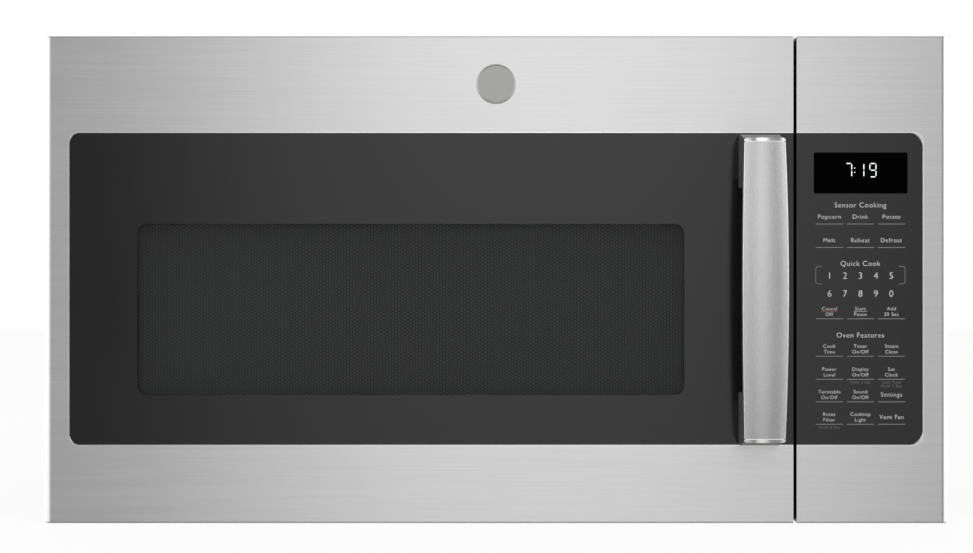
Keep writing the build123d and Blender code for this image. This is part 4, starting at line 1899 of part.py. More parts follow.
def blower_motor():
    """Vent motor between the two scrolls, on its cradle."""
    half = BLOWER_MOTOR_LENGTH / 2
    can = rod(BLOWER_MOTOR_R, (-half, BLOWER_Y, BLOWER_Z), 2 * half, "X")
    can = chamfer(can.edges().filter_by(GeomType.CIRCLE), CAN_CHAMFER)
    base = CEILING + SHEET
    x = CRADLE_W / 2
    d = CRADLE_D / 2
    inside = x - CRADLE_WALL
    cradle = block(-x, x, BLOWER_Y - d, BLOWER_Y + d, base, BLOWER_Z - CRADLE_TOP)
    cradle -= block(-inside, inside, BLOWER_Y - d - CUT, BLOWER_Y + d + CUT, base + FOOT_T,
                    BLOWER_Z)
    d = CRADLE_FOOT_D / 2
    foot = block(-x, x, BLOWER_Y - d, BLOWER_Y + d, base, base + FOOT_T)
    motor = can + cradle + foot
    return motor - rod(BLOWER_SHAFT_R + SHAFT_CLEAR, (-half - CUT, BLOWER_Y, BLOWER_Z),
                       2 * (half + CUT), "X")


BLADE_LEAD = 9.0            # blade's tip ahead of its root, in degrees
BLADE_BOW = 0.2             # lead of the blade's middle, as a share
BLADE_ROOT = 1.2            # root's thickness, in tip thicknesses
WEB_FROM_MIDDLE = 8.0
WEB_T = 1.5
WHEEL_HUB_R = 9.0
WHEEL_HUB_LENGTH = 16.0
WHEEL_RING_T = 2.0


def blade_face(angle):
    """Forward-curved blade between the inner and outer radius of the wheel."""
    r1 = WHEEL_R - WHEEL_BLADE_DEPTH
    r2 = WHEEL_R

    def at(r, turn):
        """Point at a radius and a turn from the blade's angle."""
        a = math.radians(angle + turn)
        return (r * math.cos(a), r * math.sin(a))

    t = math.degrees(WHEEL_BLADE_T / WHEEL_R)
    mid = (r1 + r2) / 2
    bow = BLADE_LEAD * BLADE_BOW
    return make_face([
        ThreePointArc(at(r1, 0), at(mid, bow), at(r2, BLADE_LEAD)),
        Line(at(r2, BLADE_LEAD), at(r2, BLADE_LEAD + t)),
        ThreePointArc(at(r2, BLADE_LEAD + t), at(mid, bow + t), at(r1, t * BLADE_ROOT)),
        Line(at(r1, t * BLADE_ROOT), at(r1, 0)),
    ])


def blower_wheel(side):
    """Blades, web, hub and end rings of one wheel, as separate solids."""
    half = WHEEL_LENGTH / 2
    x = side * WHEEL_CENTRE_X
    plane = Plane(origin=(x - half, BLOWER_Y, BLOWER_Z), x_dir=(0, 1, 0), z_dir=(1, 0, 0))
    pieces = [extrude(plane * blade_face(360 / WHEEL_BLADES * i), amount=WHEEL_LENGTH)
              for i in range(WHEEL_BLADES)]
    web_x = x - side * WEB_FROM_MIDDLE
    hub_x = web_x - WHEEL_HUB_LENGTH / 2
    pieces.append(rod(WHEEL_R, (web_x - WEB_T / 2, BLOWER_Y, BLOWER_Z), WEB_T, "X"))
    pieces.append(rod(WHEEL_HUB_R, (hub_x, BLOWER_Y, BLOWER_Z), WHEEL_HUB_LENGTH, "X"))
    for ring_x in (x - half, x + half - WHEEL_RING_T):
        ring = rod(WHEEL_R, (ring_x, BLOWER_Y, BLOWER_Z), WHEEL_RING_T, "X")
        ring -= rod(WHEEL_R - WHEEL_BLADE_DEPTH, (ring_x - CUT, BLOWER_Y, BLOWER_Z),
                    WHEEL_RING_T + 2 * CUT, "X")
        pieces.append(ring)
    return pieces


def blower_wheels():
    """Shaft with two squirrel-cage wheels."""
    reach = WHEEL_CENTRE_X + WHEEL_LENGTH / 2
    shaft = rod(BLOWER_SHAFT_R, (-reach, BLOWER_Y, BLOWER_Z), 2 * reach, "X")
    return shaft.fuse(*blower_wheel(-1), *blower_wheel(1))


FAN_HUB_FILLET = 3.0
FAN_SHAFT_LAP = 2.0
FAN_SHAFT_REACH = 24.0
FAN_ROOT_LAP = 3.0
FAN_TIP_CLEAR = 2.0
FAN_ROOT = (16.0, 1.6, 48.0)    # blade's width, thickness and pitch in degrees
FAN_TIP = (34.0, 1.2, 24.0)


def blade_section(size, z):
    """Section of a fan blade, pitched, at a distance from the axis."""
    width, thick, pitch = size
    return Plane(origin=(0, 0, z), x_dir=(1, 0, 0), z_dir=(0, 0, 1)) * Rot(0, 0, pitch) \
        * Rectangle(width, thick)


def fan_blade():
    """Five pitched blades on a hub with its shaft."""
    y0 = FAN_Y - FAN_DEPTH / 2
    hub = rod(FAN_HUB_R, (FAN_X, y0, FAN_Z), FAN_DEPTH, "Y")
    hub = fillet(hub.edges().filter_by(GeomType.CIRCLE).group_by(Axis.Y)[0], FAN_HUB_FILLET)
    shaft = rod(FAN_SHAFT_R, (FAN_X, y0 + FAN_SHAFT_LAP, FAN_Z), FAN_DEPTH + FAN_SHAFT_REACH,
                "Y")
    blade = loft([blade_section(FAN_ROOT, FAN_HUB_R - FAN_ROOT_LAP),
                  blade_section(FAN_TIP, FAN_R - FAN_TIP_CLEAR)])
    blades = [Pos(FAN_X, FAN_Y, FAN_Z) * Rot(0, 360 / FAN_BLADES * i, 0) * blade
              for i in range(FAN_BLADES)]
    return hub.fuse(shaft, *blades)


# --- grease filters -------------------------------------------------------------------
FILTER_R = 4.0
FILTER_TOP = 1.0            # frame's top below the opening's
FILTER_RIM = 9.0            # frame round the mesh pad
PAD_RECESS = 2.0
PULL_W = 18.0
PULL_T = 5.0
PULL_FROM_FRONT = 2.0
PULL_H = 3.0


def grease_filter(side):
    """Aluminium frame with its mesh pad, hinged on the rear edge of its opening."""
    x = side * FILTER_X
    w = FILTER_WIDTH / 2
    d = FILTER_DEPTH / 2
    top = FILTER_T - FILTER_TOP
    frame = slab_xy(x - w, x + w, FILTER_Y - d, FILTER_Y + d, FILTER_R, SEAT_GAP, top)
    depth = PAD_RECESS + CUT
    for z in (SEAT_GAP - CUT, top - PAD_RECESS):
        frame -= slab_xy(x - w + FILTER_RIM, x + w - FILTER_RIM, FILTER_Y - d + FILTER_RIM,
                         FILTER_Y + d - FILTER_RIM, FILTER_R, z, z + depth)
    y0 = FILTER_Y - d + PULL_FROM_FRONT
    return frame + block(x - PULL_W / 2, x + PULL_W / 2, y0, y0 + PULL_T, top, top + PULL_H)


# --- build ----------------------------------------------------------------------------
SUB_PARTS = {
    "outer_wrap": outer_wrap,
    "base_plate": base_plate,
    "rear_panel": rear_panel,
    "wall_plate": wall_plate,
    "front_frame": front_frame,
    "oven_cavity": oven_cavity,
    "exhaust_flange": exhaust_flange,
    "top_vent_grille": top_vent_grille,
    "charcoal_filter": charcoal_filter,
    "cord_bushing": cord_bushing,
    "hinge_lower": hinge_lower,
    "hinge_upper": hinge_upper,
    "casing_screws": casing_screws,
    "waveguide": waveguide,
    "waveguide_cover": waveguide_cover,
    "magnetron": magnetron,
    "hv_transformer": hv_transformer,
    "hv_capacitor": hv_capacitor,
    "hv_diode": hv_diode,
    "turntable_motor": turntable_motor,
    "cavity_lamp": cavity_lamp,
    "cavity_lamp_cover": cavity_lamp_cover,
    "cooktop_lamps": cooktop_lamps,
    "cooktop_lamp_covers": cooktop_lamp_covers,
    "thermal_cutouts": thermal_cutouts,
    "humidity_sensor": humidity_sensor,
    "cooling_fan_motor": cooling_fan_motor,
    "blower_housing": blower_housing,
    "blower_motor": blower_motor,
    "control_frame": control_frame,
    "control_skin": control_skin,
    "control_glass": control_glass,
    "display_module": display_module,
    "control_board": control_board,
    "latch_board": latch_board,
    "interlock_switches": interlock_switches,
    "door_skin": door_skin,
    "door_glass": door_glass,
    "door_frame": door_frame,
    "window_screen": window_screen,
    "door_choke": door_choke,
    "choke_cover": choke_cover,
    "inner_window": inner_window,
    "door_bushes": door_bushes,
    "latch_spring": latch_spring,
    "latch_hooks": latch_hooks,
    "handle_bar": handle_bar,
    "handle_posts": handle_posts,
    "handle_caps": handle_caps,
    "handle_screws": handle_screws,
    "turntable_coupler": turntable_coupler,
    "glass_tray": glass_tray,
    "roller_ring": roller_ring,
    "roller_wheel_1": lambda: roller_wheel(0),
    "roller_wheel_2": lambda: roller_wheel(1),
    "roller_wheel_3": lambda: roller_wheel(2),
    "blower_wheels": blower_wheels,
    "fan_blade": fan_blade,
    "grease_filter_left": lambda: grease_filter(-1),
    "grease_filter_right": lambda: grease_filter(1),
}


def main():
    """Write every sub-part to its own file."""
    os.makedirs("parts", exist_ok=True)
    for name, build in SUB_PARTS.items():
        export_step(build(), f"parts/{name}.step")


if __name__ == "__main__":
    main()
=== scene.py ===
"""Looks of the over-the-range microwave oven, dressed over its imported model.

Every length is in metres in the model's own frame: the origin is the centre of the casing's
underside, +X is to the right of a person who faces the door, -Y is the front and +Z is up.
"""

import json
import logging
import math
from dataclasses import dataclass
from enum import Enum
from typing import Dict, Iterator, List, Optional, Sequence, Tuple

import bpy
import numpy as np
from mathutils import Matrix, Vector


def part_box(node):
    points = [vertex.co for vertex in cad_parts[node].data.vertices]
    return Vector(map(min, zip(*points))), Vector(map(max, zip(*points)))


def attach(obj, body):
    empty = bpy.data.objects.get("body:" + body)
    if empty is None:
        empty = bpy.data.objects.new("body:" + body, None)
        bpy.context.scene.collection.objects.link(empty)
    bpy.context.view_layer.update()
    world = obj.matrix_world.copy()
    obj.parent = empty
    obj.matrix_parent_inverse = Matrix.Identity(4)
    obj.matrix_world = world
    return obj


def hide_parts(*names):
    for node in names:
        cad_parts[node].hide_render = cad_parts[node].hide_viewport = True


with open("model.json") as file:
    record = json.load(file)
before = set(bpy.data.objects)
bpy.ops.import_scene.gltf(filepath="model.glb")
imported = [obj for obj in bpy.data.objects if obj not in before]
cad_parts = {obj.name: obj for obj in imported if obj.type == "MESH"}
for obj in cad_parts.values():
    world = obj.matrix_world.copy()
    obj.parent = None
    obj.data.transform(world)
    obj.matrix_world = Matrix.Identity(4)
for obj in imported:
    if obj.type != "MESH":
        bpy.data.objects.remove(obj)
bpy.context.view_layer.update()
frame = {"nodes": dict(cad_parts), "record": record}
LOG = logging.getLogger("microwave")

Triple = Tuple[float, float, float]
Colour = Triple
Point = Tuple[float, float]
Socket = bpy.types.NodeSocket
Material = bpy.types.Material
Piece = bpy.types.Object
MM = 0.001
SLOTS = {part["node"]: part["material_slot"] for part in frame["record"]["subparts"]}
# Lower left and upper right corner of the clear area of the door glass, in X and Z.
WINDOW = ((-0.3005, 0.1086), (0.1575, 0.2516))


def front_of(name: str) -> float:
    """Y of a node's foremost face."""
    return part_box(name)[0][1]


def sheet_of(name: str) -> Tuple[Point, Point]:
    """Lower left and upper right corner of a node as seen from the front, in X and Z."""
    low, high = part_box(name)
    return (low[0], low[2]), (high[0], high[2])


class Grain(Enum):
    """Direction of the brushing on a metal sheet, as the axis that it runs along."""

    ACROSS = (1.0, 0.0, 0.0)
    DEEP = (0.0, 1.0, 0.0)
    UPRIGHT = (0.0, 0.0, 1.0)


# --- node helpers -----------------------------------------------------------------------
class NodeTree:
    """Node tree of a material or a world, with short calls for the nodes that they share."""

    def __init__(self, owner: bpy.types.ID) -> None:
        """Start with an empty tree.

        Args:
            owner: the material or the world.
        """
        owner.use_nodes = True
        self.tree = owner.node_tree
        self.tree.nodes.clear()

    def feed(self, socket: Socket, value: object) -> None:
        """Link an input to the value where that is a socket; set it to the value if not."""
        if isinstance(value, Socket):
            self.tree.links.new(value, socket)
        else:
            socket.default_value = (*value, 1.0) if socket.type == "RGBA" else value

    def add(self, kind: str, *inputs: object, **named: object) -> bpy.types.Node:
        """Add a node, set its properties and feed its inputs.

        Args:
            kind: type of the node without its prefix.
            inputs: what its first inputs get, in order.
            named: properties in lower case, and inputs by name with underscores for spaces.

        Returns:
            The node.
        """
        node = self.tree.nodes.new(f"ShaderNode{kind}")
        for name in filter(str.islower, named):
            setattr(node, name, named[name])
        fed = list(zip(node.inputs, inputs))
        fed += [(node.inputs[name.replace("_", " ")], value) for name, value in named.items()
                if not name.islower()]
        for socket, value in fed:
            self.feed(socket, value)
        return node

    def spread(self, value: Socket, low: float, high: float, start: float = 0.0,
               stop: float = 1.0) -> Socket:
        """Map a value from start and stop to low and high, held at the ends."""
        return self.add("MapRange", Value=value, From_Min=start, From_Max=stop, To_Min=low,
                        To_Max=high).outputs["Result"]

    def blend(self, fac: Socket, first: object, second: object) -> Socket:
        """Mix two colours, each a colour or a socket, by a factor."""
        node = self.add("Mix", fac, data_type="RGBA")
        colour_inputs = (node.inputs[6], node.inputs[7])
        for socket, value in zip(colour_inputs, (first, second)):
            self.feed(socket, value)
        return node.outputs[2]

    def sum(self, kind: str, *values: object) -> Socket:
        """Math node on up to three values, each a number or a socket."""
        return self.add("Math", *values, operation=kind).outputs[0]

    def weigh(self, first: Socket, second: Socket, share: float) -> Socket:
        """Add a share of one value to the rest's share of another."""
        return self.sum("MULTIPLY_ADD", first, share, self.sum("MULTIPLY", second, 1.0 - share))

    def either(self, fac: Socket, first: Socket, second: Socket) -> Socket:
        """Mix two surfaces by a factor."""
        return self.add("MixShader", fac, first, second).outputs[0]


class Shader(NodeTree):
    """Node tree of a new material with a Principled surface on Object coordinates."""

    def __init__(self, name: str) -> None:
        """Start the material.

        Args:
            name: name of the material.
        """
        self.material = bpy.data.materials.new(name)
        super().__init__(self.material)
        self.surface = self.add("BsdfPrincipled")
        self.output = self.add("OutputMaterial", self.surface.outputs["BSDF"])
        self.place = self.add("TexCoord").outputs["Object"]

    def put(self, **values: object) -> None:
        """Feed inputs of the Principled surface, named with underscores for spaces."""
        for name, value in values.items():
            self.feed(self.surface.inputs[name.replace("_", " ")], value)

    def noise(self, scale: float, detail: float = 3.0, roughness: float = 0.5,
              stretch: Triple = (1.0, 1.0, 1.0)) -> Socket:
        """Noise value from 0 to 1, with its features drawn out where the stretch is small."""
        place = self.add("Mapping", Vector=self.place, Scale=stretch).outputs["Vector"]
        return self.add("TexNoise", Vector=place, Scale=scale, Detail=detail,
                        Roughness=roughness).outputs["Fac"]

    def cells(self, scale: float) -> Socket:
        """Distance to the nearest cell point."""
        return self.add("TexVoronoi", Vector=self.place, Scale=scale).outputs["Distance"]

    def axes(self) -> List[Socket]:
        """The three object coordinates as values."""
        return list(self.add("SeparateXYZ", self.place).outputs)

    def relief(self, height: Socket, distance: float, strength: float = 1.0) -> None:
        """Bump the surface by a height that is worth the distance in metres."""
        bump = self.add("Bump", Strength=strength, Distance=distance, Height=height)
        self.put(Normal=bump.outputs["Normal"])

    def comb(self, along: Triple) -> None:
        """Turn the long axis of the gloss across brush lines that run along an axis.

        The tangent is the normal crossed with the axis, plus a small constant that keeps it
        from vanishing where the normal lies along the axis.
        """
        normal = self.add("NewGeometry").outputs["Normal"]
        cross = self.add("VectorMath", normal, along, operation="CROSS_PRODUCT").outputs[0]
        nudge = self.add("VectorMath", cross, (0.02, 0.03, 0.05), operation="ADD")
        self.put(Tangent=nudge.outputs[0])

    def rounded_box(self, low: Point, high: Point, radius: float, edge: float) -> Socket:
        """1 inside an upright rounded rectangle in X and Z, falling to 0 over the edge.

        The signed distance is the length of the outer part of (|p| - half + radius), plus
        its inner part, less the radius.
        """
        x, _, z = self.axes()
        past = []
        for value, start, stop in ((x, low[0], high[0]), (z, low[1], high[1])):
            away = self.sum("ABSOLUTE", self.sum("SUBTRACT", value, (start + stop) / 2.0))
            past.append(self.sum("SUBTRACT", away, (stop - start) / 2.0 - radius))
        outer = [self.sum("MAXIMUM", value, 0.0) for value in past]
        squares = [self.sum("MULTIPLY", value, value) for value in outer]
        length = self.sum("SQRT", self.sum("ADD", *squares))
        inner = self.sum("MINIMUM", self.sum("MAXIMUM", *past), 0.0)
        distance = self.sum("SUBTRACT", self.sum("ADD", length, inner), radius)
        return self.spread(distance, 1.0, 0.0, -edge, edge)


# --- finishes ---------------------------------------------------------------------------
def toned(colour: Colour, share: float) -> Colour:
    """Colour with every channel multiplied by a share and held at 1."""
    return tuple(min(1.0, channel * share) for channel in colour)


class Finish:
    """Look of a surface; each kind paints its own nodes."""

    def material(self, name: str) -> Material:
        """Build the finish as a new material.

        Args:
            name: name of the material.

        Returns:
            The material.
        """
        shader = Shader(name)
        self.paint(shader)
        return shader.material

    def paint(self, shader: Shader) -> None:
        """Put the finish on a shader's surface."""
        raise NotImplementedError


@dataclass(frozen=True)
class BrushedMetal(Finish):
    """Metal sheet with fine brush lines and a slow cloudiness."""

    colour: Colour
    roughness: float = 0.3
    grain: Grain = Grain.ACROSS
    line_scale: float = 900.0
    line_contrast: float = 0.07
    depth: float = 0.000012
    stretch: float = 0.75
    draw_out: float = 0.012
    coarse_share: float = 0.3
    cloud_scale: float = 7.0

    def paint(self, shader: Shader) -> None:
        """Draw noise out along the grain as lines that carry colour, roughness and bump."""
        stretch = tuple(self.draw_out if along else 1.0 for along in self.grain.value)
        fine = shader.noise(self.line_scale, 4.0, 0.6, stretch)
        coarse = shader.noise(self.line_scale * 0.22, 3.0, 0.55, stretch)
        clouds = shader.noise(self.cloud_scale, 2.0)
        lines = shader.weigh(coarse, fine, self.coarse_share)
        colour = shader.blend(shader.spread(lines, 0.0, 1.0, 0.3, 0.7),
                              toned(self.colour, 1.0 - self.line_contrast),
                              toned(self.colour, 1.0 + self.line_contrast))
        rough = shader.sum("MULTIPLY_ADD", lines, 0.10,
                           shader.spread(clouds, self.roughness - 0.06, self.roughness - 0.03))
        shader.put(Base_Color=colour, Metallic=1.0, Roughness=rough, Anisotropic=self.stretch)
        shader.comb(self.grain.value)
        shader.relief(lines, self.depth)


@dataclass(frozen=True)
class PolishedMetal(Finish):
    """Bright metal with faint smears."""

    colour: Colour
    roughness: float = 0.08
    smear_scale: float = 60.0

    def paint(self, shader: Shader) -> None:
        """Let the smears vary roughness and, a little, colour."""
        smears = shader.noise(self.smear_scale, 4.0, 0.6)
        rough = shader.spread(smears, self.roughness, self.roughness + 0.09, 0.35, 0.75)
        tint = shader.blend(smears, self.colour, toned(self.colour, 0.92))
        shader.put(Base_Color=tint, Metallic=1.0, Roughness=rough)


@dataclass(frozen=True)
class ZincSheet(Finish):
    """Galvanised steel with its crystal spangle."""

    colour: Colour
    spangle: float = 90.0
    roughness: float = 0.42
    depth: float = 0.00002

    def paint(self, shader: Shader) -> None:
        """Give each spangle cell its own tone."""
        fleck = shader.noise(self.spangle * 2.2, 3.0, 0.6)
        tone = shader.weigh(fleck, shader.cells(self.spangle), 0.5)
        colour = shader.blend(tone, toned(self.colour, 0.80), toned(self.colour, 1.18))
        rough = shader.spread(tone, self.roughness - 0.08, self.roughness + 0.12)
        shader.put(Base_Color=colour, Metallic=0.9, Roughness=rough)
        shader.relief(fleck, self.depth)


@dataclass(frozen=True)
class Coating(Finish):
    """Paint, powder coat or enamel: a skin with a fine orange peel."""

    colour: Colour
    roughness: float = 0.45
    peel_scale: float = 650.0
    peel_depth: float = 0.00003
    fleck: float = 0.04
    coat: float = 0.0
    shine: float = 0.5
    patch_scale: float = 9.0

    def paint(self, shader: Shader) -> None:
        """Add flecks, rubbed patches and orange peel."""
        peel = shader.noise(self.peel_scale, 3.0, 0.55)
        patches = shader.noise(self.patch_scale, 4.0, 0.6)
        colour = shader.blend(shader.weigh(peel, patches, 0.6),
                              toned(self.colour, 1.0 - self.fleck),
                              toned(self.colour, 1.0 + self.fleck))
        rough = shader.spread(patches, self.roughness - 0.05, self.roughness + 0.06, 0.3, 0.7)
        shader.put(Base_Color=colour, Roughness=rough, Coat_Weight=self.coat,
                   Coat_Roughness=0.12, Specular_IOR_Level=self.shine)
        shader.relief(peel, self.peel_depth)


@dataclass(frozen=True)
class Moulding(Finish):
    """Moulded plastic with a spark-eroded grain."""

    colour: Colour
    roughness: float = 0.5
    grain_scale: float = 1400.0
    grain_depth: float = 0.00002
    cloud_scale: float = 25.0

    def paint(self, shader: Shader) -> None:
        """Lay a grain of fine cells over soft clouds."""
        cloud = shader.noise(self.cloud_scale)
        colour = shader.blend(cloud, toned(self.colour, 0.92), toned(self.colour, 1.08))
        rough = shader.spread(cloud, self.roughness - 0.05, self.roughness + 0.05)
        shader.put(Base_Color=colour, Roughness=rough)
        shader.relief(shader.cells(self.grain_scale), self.grain_depth, 0.6)


@dataclass(frozen=True)
class ClearSheet(Finish):
    """Clear glass or plastic with a little dust; its alpha stands for the sheet's haze."""

    tint: Colour
    alpha: float = 0.22
    roughness: float = 0.06
    dust_scale: float = 140.0
    refraction: float = 1.45

    def paint(self, shader: Shader) -> None:
        """Let the dust vary the roughness."""
        dust = shader.noise(self.dust_scale, 4.0, 0.6)
        rough = shader.spread(dust, self.roughness, self.roughness + 0.08, 0.45, 0.8)
        shader.put(Base_Color=self.tint, Roughness=rough, Alpha=self.alpha,
                   IOR=self.refraction)


@dataclass(frozen=True)
class PrintedGlass(Finish):
    """Glass printed dark but for a clear window, a rounded rectangle in X and Z, if any."""

    colour: Colour
    window: Optional[Tuple[Point, Point]] = None
    window_colour: Colour = (0.012, 0.012, 0.013)
    window_radius: float = 0.008
    window_edge: float = 0.0004
    window_alpha: float = 0.30
    window_shine: float = 0.12
    refraction: float = 1.44

    def paint(self, shader: Shader) -> None:
        """Print the ink, and leave it out of the window where there is one."""
        haze = shader.noise(18.0, 3.0, 0.55)
        dust = shader.noise(420.0, 2.0)
        rough = shader.sum("MULTIPLY_ADD", dust, 0.03, shader.spread(haze, 0.10, 0.14))
        ink = shader.blend(haze, self.colour, toned(self.colour, 1.12))
        shader.put(Roughness=rough, IOR=self.refraction, Base_Color=ink)
        if self.window is not None:
            inside = shader.rounded_box(*self.window, self.window_radius, self.window_edge)
            shader.put(Base_Color=shader.blend(inside, ink, self.window_colour),
                       Alpha=shader.spread(inside, 1.0, self.window_alpha),
                       Specular_IOR_Level=shader.spread(inside, 0.5, self.window_shine))


@dataclass(frozen=True)
class CircuitBoard(Finish):
    """Lacquered board with tracks and pads."""

    colour: Colour
    copper: Colour = (0.45, 0.30, 0.12)
    track_scale: float = 160.0
    track_width: float = 0.06
    pad_scale: float = 220.0

    def paint(self, shader: Shader) -> None:
        """Draw tracks as the joints of a brick pattern and pads as the middles of cells."""
        tracks = shader.add("TexBrick", Vector=shader.place, Scale=self.track_scale,
                            Mortar_Size=self.track_width).outputs["Fac"]
        masked = shader.blend(tracks, self.colour, toned(self.colour, 1.6))
        pads = shader.spread(shader.cells(self.pad_scale), 1.0, 0.0, 0.12, 0.16)
        shader.put(Base_Color=shader.blend(pads, masked, self.copper),
                   Metallic=shader.sum("MULTIPLY", pads, 0.8), Roughness=0.38)
        shader.relief(tracks, 0.00004)


@dataclass(frozen=True)
class WovenMesh(Finish):
    """Metal mesh of crossing wires, as in a filter."""

    colour: Colour
    pitch: float = 0.0024
    depth: float = 0.0004

    def paint(self, shader: Shader) -> None:
        """Raise wires as sine waves across X and Y, and paint the low gaps between them dark as
        painted shade.
        """
        turns = 2.0 * math.pi / self.pitch
        waves = [shader.sum("SINE", shader.sum("MULTIPLY", value, turns))
                 for value in shader.axes()[:2]]
        height = shader.spread(shader.sum("MAXIMUM", *waves), 0.0, 1.0, -0.2, 0.9)
        # The gaps between the wires get a fifth of the wire colour: painted shade where the
        # hollows of the mesh fall into shadow.
        shader.put(Base_Color=shader.blend(height, toned(self.colour, 0.18), self.colour),
                   Metallic=0.85, Roughness=shader.spread(height, 0.7, 0.33))
        shader.relief(height, self.depth)


@dataclass(frozen=True)
class Granules(Finish):
    """Black grains behind a mesh, painted darker at their edges and in the gaps between them as
    shade.
    """

    colour: Colour
    # Colour of the painted shade in the gaps between the grains.
    gap_shade_colour: Colour = (0.004, 0.004, 0.004)
    grain_scale: float = 330.0
    depth: float = 0.0012

    def paint(self, shader: Shader) -> None:
        """Make each grain a rounded cell, lighter in its middle and painted dark towards its
        edge as painted shade between the grains.
        """
        grain = shader.cells(self.grain_scale)
        # Each grain runs from its own colour in the middle to the painted shade colour at its
        # edge.
        colour = shader.blend(shader.spread(grain, 1.0, 0.0, 0.0, 0.6), self.gap_shade_colour,
                              self.colour)
        shader.put(Base_Color=colour, Roughness=0.75)
        shader.relief(grain, -self.depth)


@dataclass(frozen=True)
class Glow(Finish):
    """Lit mark that shines by itself, or printed mark given a faint painted glow though the ink
    is no lamp.
    """

    colour: Colour
    strength: float
    unevenness: float = 0.08

    def paint(self, shader: Shader) -> None:
        """Let the light vary softly along the mark."""
        weakest = self.strength * (1.0 - self.unevenness)
        light = shader.spread(shader.noise(300.0, 2.0), weakest, self.strength)
        shader.put(Base_Color=self.colour, Roughness=0.4, Emission_Color=self.colour,
                   Emission_Strength=light)


# --- meshes -----------------------------------------------------------------------------
def add_piece(name: str, finish: Material, points: np.ndarray,
              faces: Sequence[Sequence[int]], smooth: bool = False) -> Piece:
    """Make an object at the origin from points and faces.

    Args:
        name: name of the object and its mesh.
        finish: its material.
        points: N by 3 array of points.
        faces: corners of each face, anticlockwise as seen from outside.
        smooth: whether the faces are shaded smooth.

    Returns:
        The linked object.
    """
    mesh = bpy.data.meshes.new(name)
    mesh.from_pydata(np.asarray(points, dtype=float).tolist(), [], faces)
    mesh.polygons.foreach_set("use_smooth", np.full(len(mesh.polygons), smooth))
    mesh.materials.append(finish)
    mesh.update()
    piece = bpy.data.objects.new(name, mesh)
    bpy.context.collection.objects.link(piece)
    LOG.info("%s: %d faces", name, len(mesh.polygons))
    return piece


def rim_edges(faces: Sequence[np.ndarray]) -> np.ndarray:
    """Directed edges that only one face has, for faces grouped by their corner count."""
    edges = np.vstack([np.column_stack([group.ravel(), np.roll(group, -1, axis=1).ravel()])
                       for group in faces])
    span = int(edges.max()) + 1
    keys = edges.min(axis=1) * span + edges.max(axis=1)
    _, first, counts = np.unique(keys, return_index=True, return_counts=True)
    return edges[first[counts == 1]]


def thicken(name: str, finish: Material, flat: np.ndarray,
            faces: Sequence[np.ndarray], front_y: float, back_y: float) -> Piece:
    """Give a flat figure in X and Z a thickness along Y and close it.

    The front has the figure's faces, the back has them turned round, and each rim edge of the
    figure becomes a side face between the two.

    Args:
        name: name of the object.
        finish: its material.
        flat: N by 2 array of points in X and Z.
        faces: arrays of faces, anticlockwise as seen from the front, one per corner count.
        front_y: Y of the front.
        back_y: Y of the back.

    Returns:
        The linked object.
    """
    number = len(flat)
    front = np.column_stack([flat[:, 0], np.full(number, front_y), flat[:, 1]])
    back = front + np.array([0.0, back_y - front_y, 0.0])
    rim = rim_edges(faces)
    sides = np.column_stack([rim[:, 1], rim[:, 0], rim[:, 0] + number, rim[:, 1] + number])
    every = [group.tolist() for group in faces]
    every += [(group[:, ::-1] + number).tolist() for group in faces]
    every.append(sides.tolist())
    return add_piece(name, finish, np.vstack([front, back]), sum(every, []))


def rays(start: float, stop: float, steps: int) -> np.ndarray:
    """Unit vectors in X and Z from one angle in degrees to another, in equal steps."""
    turn = np.radians(np.linspace(start, stop, steps + 1))
    return np.column_stack([np.cos(turn), np.sin(turn)])


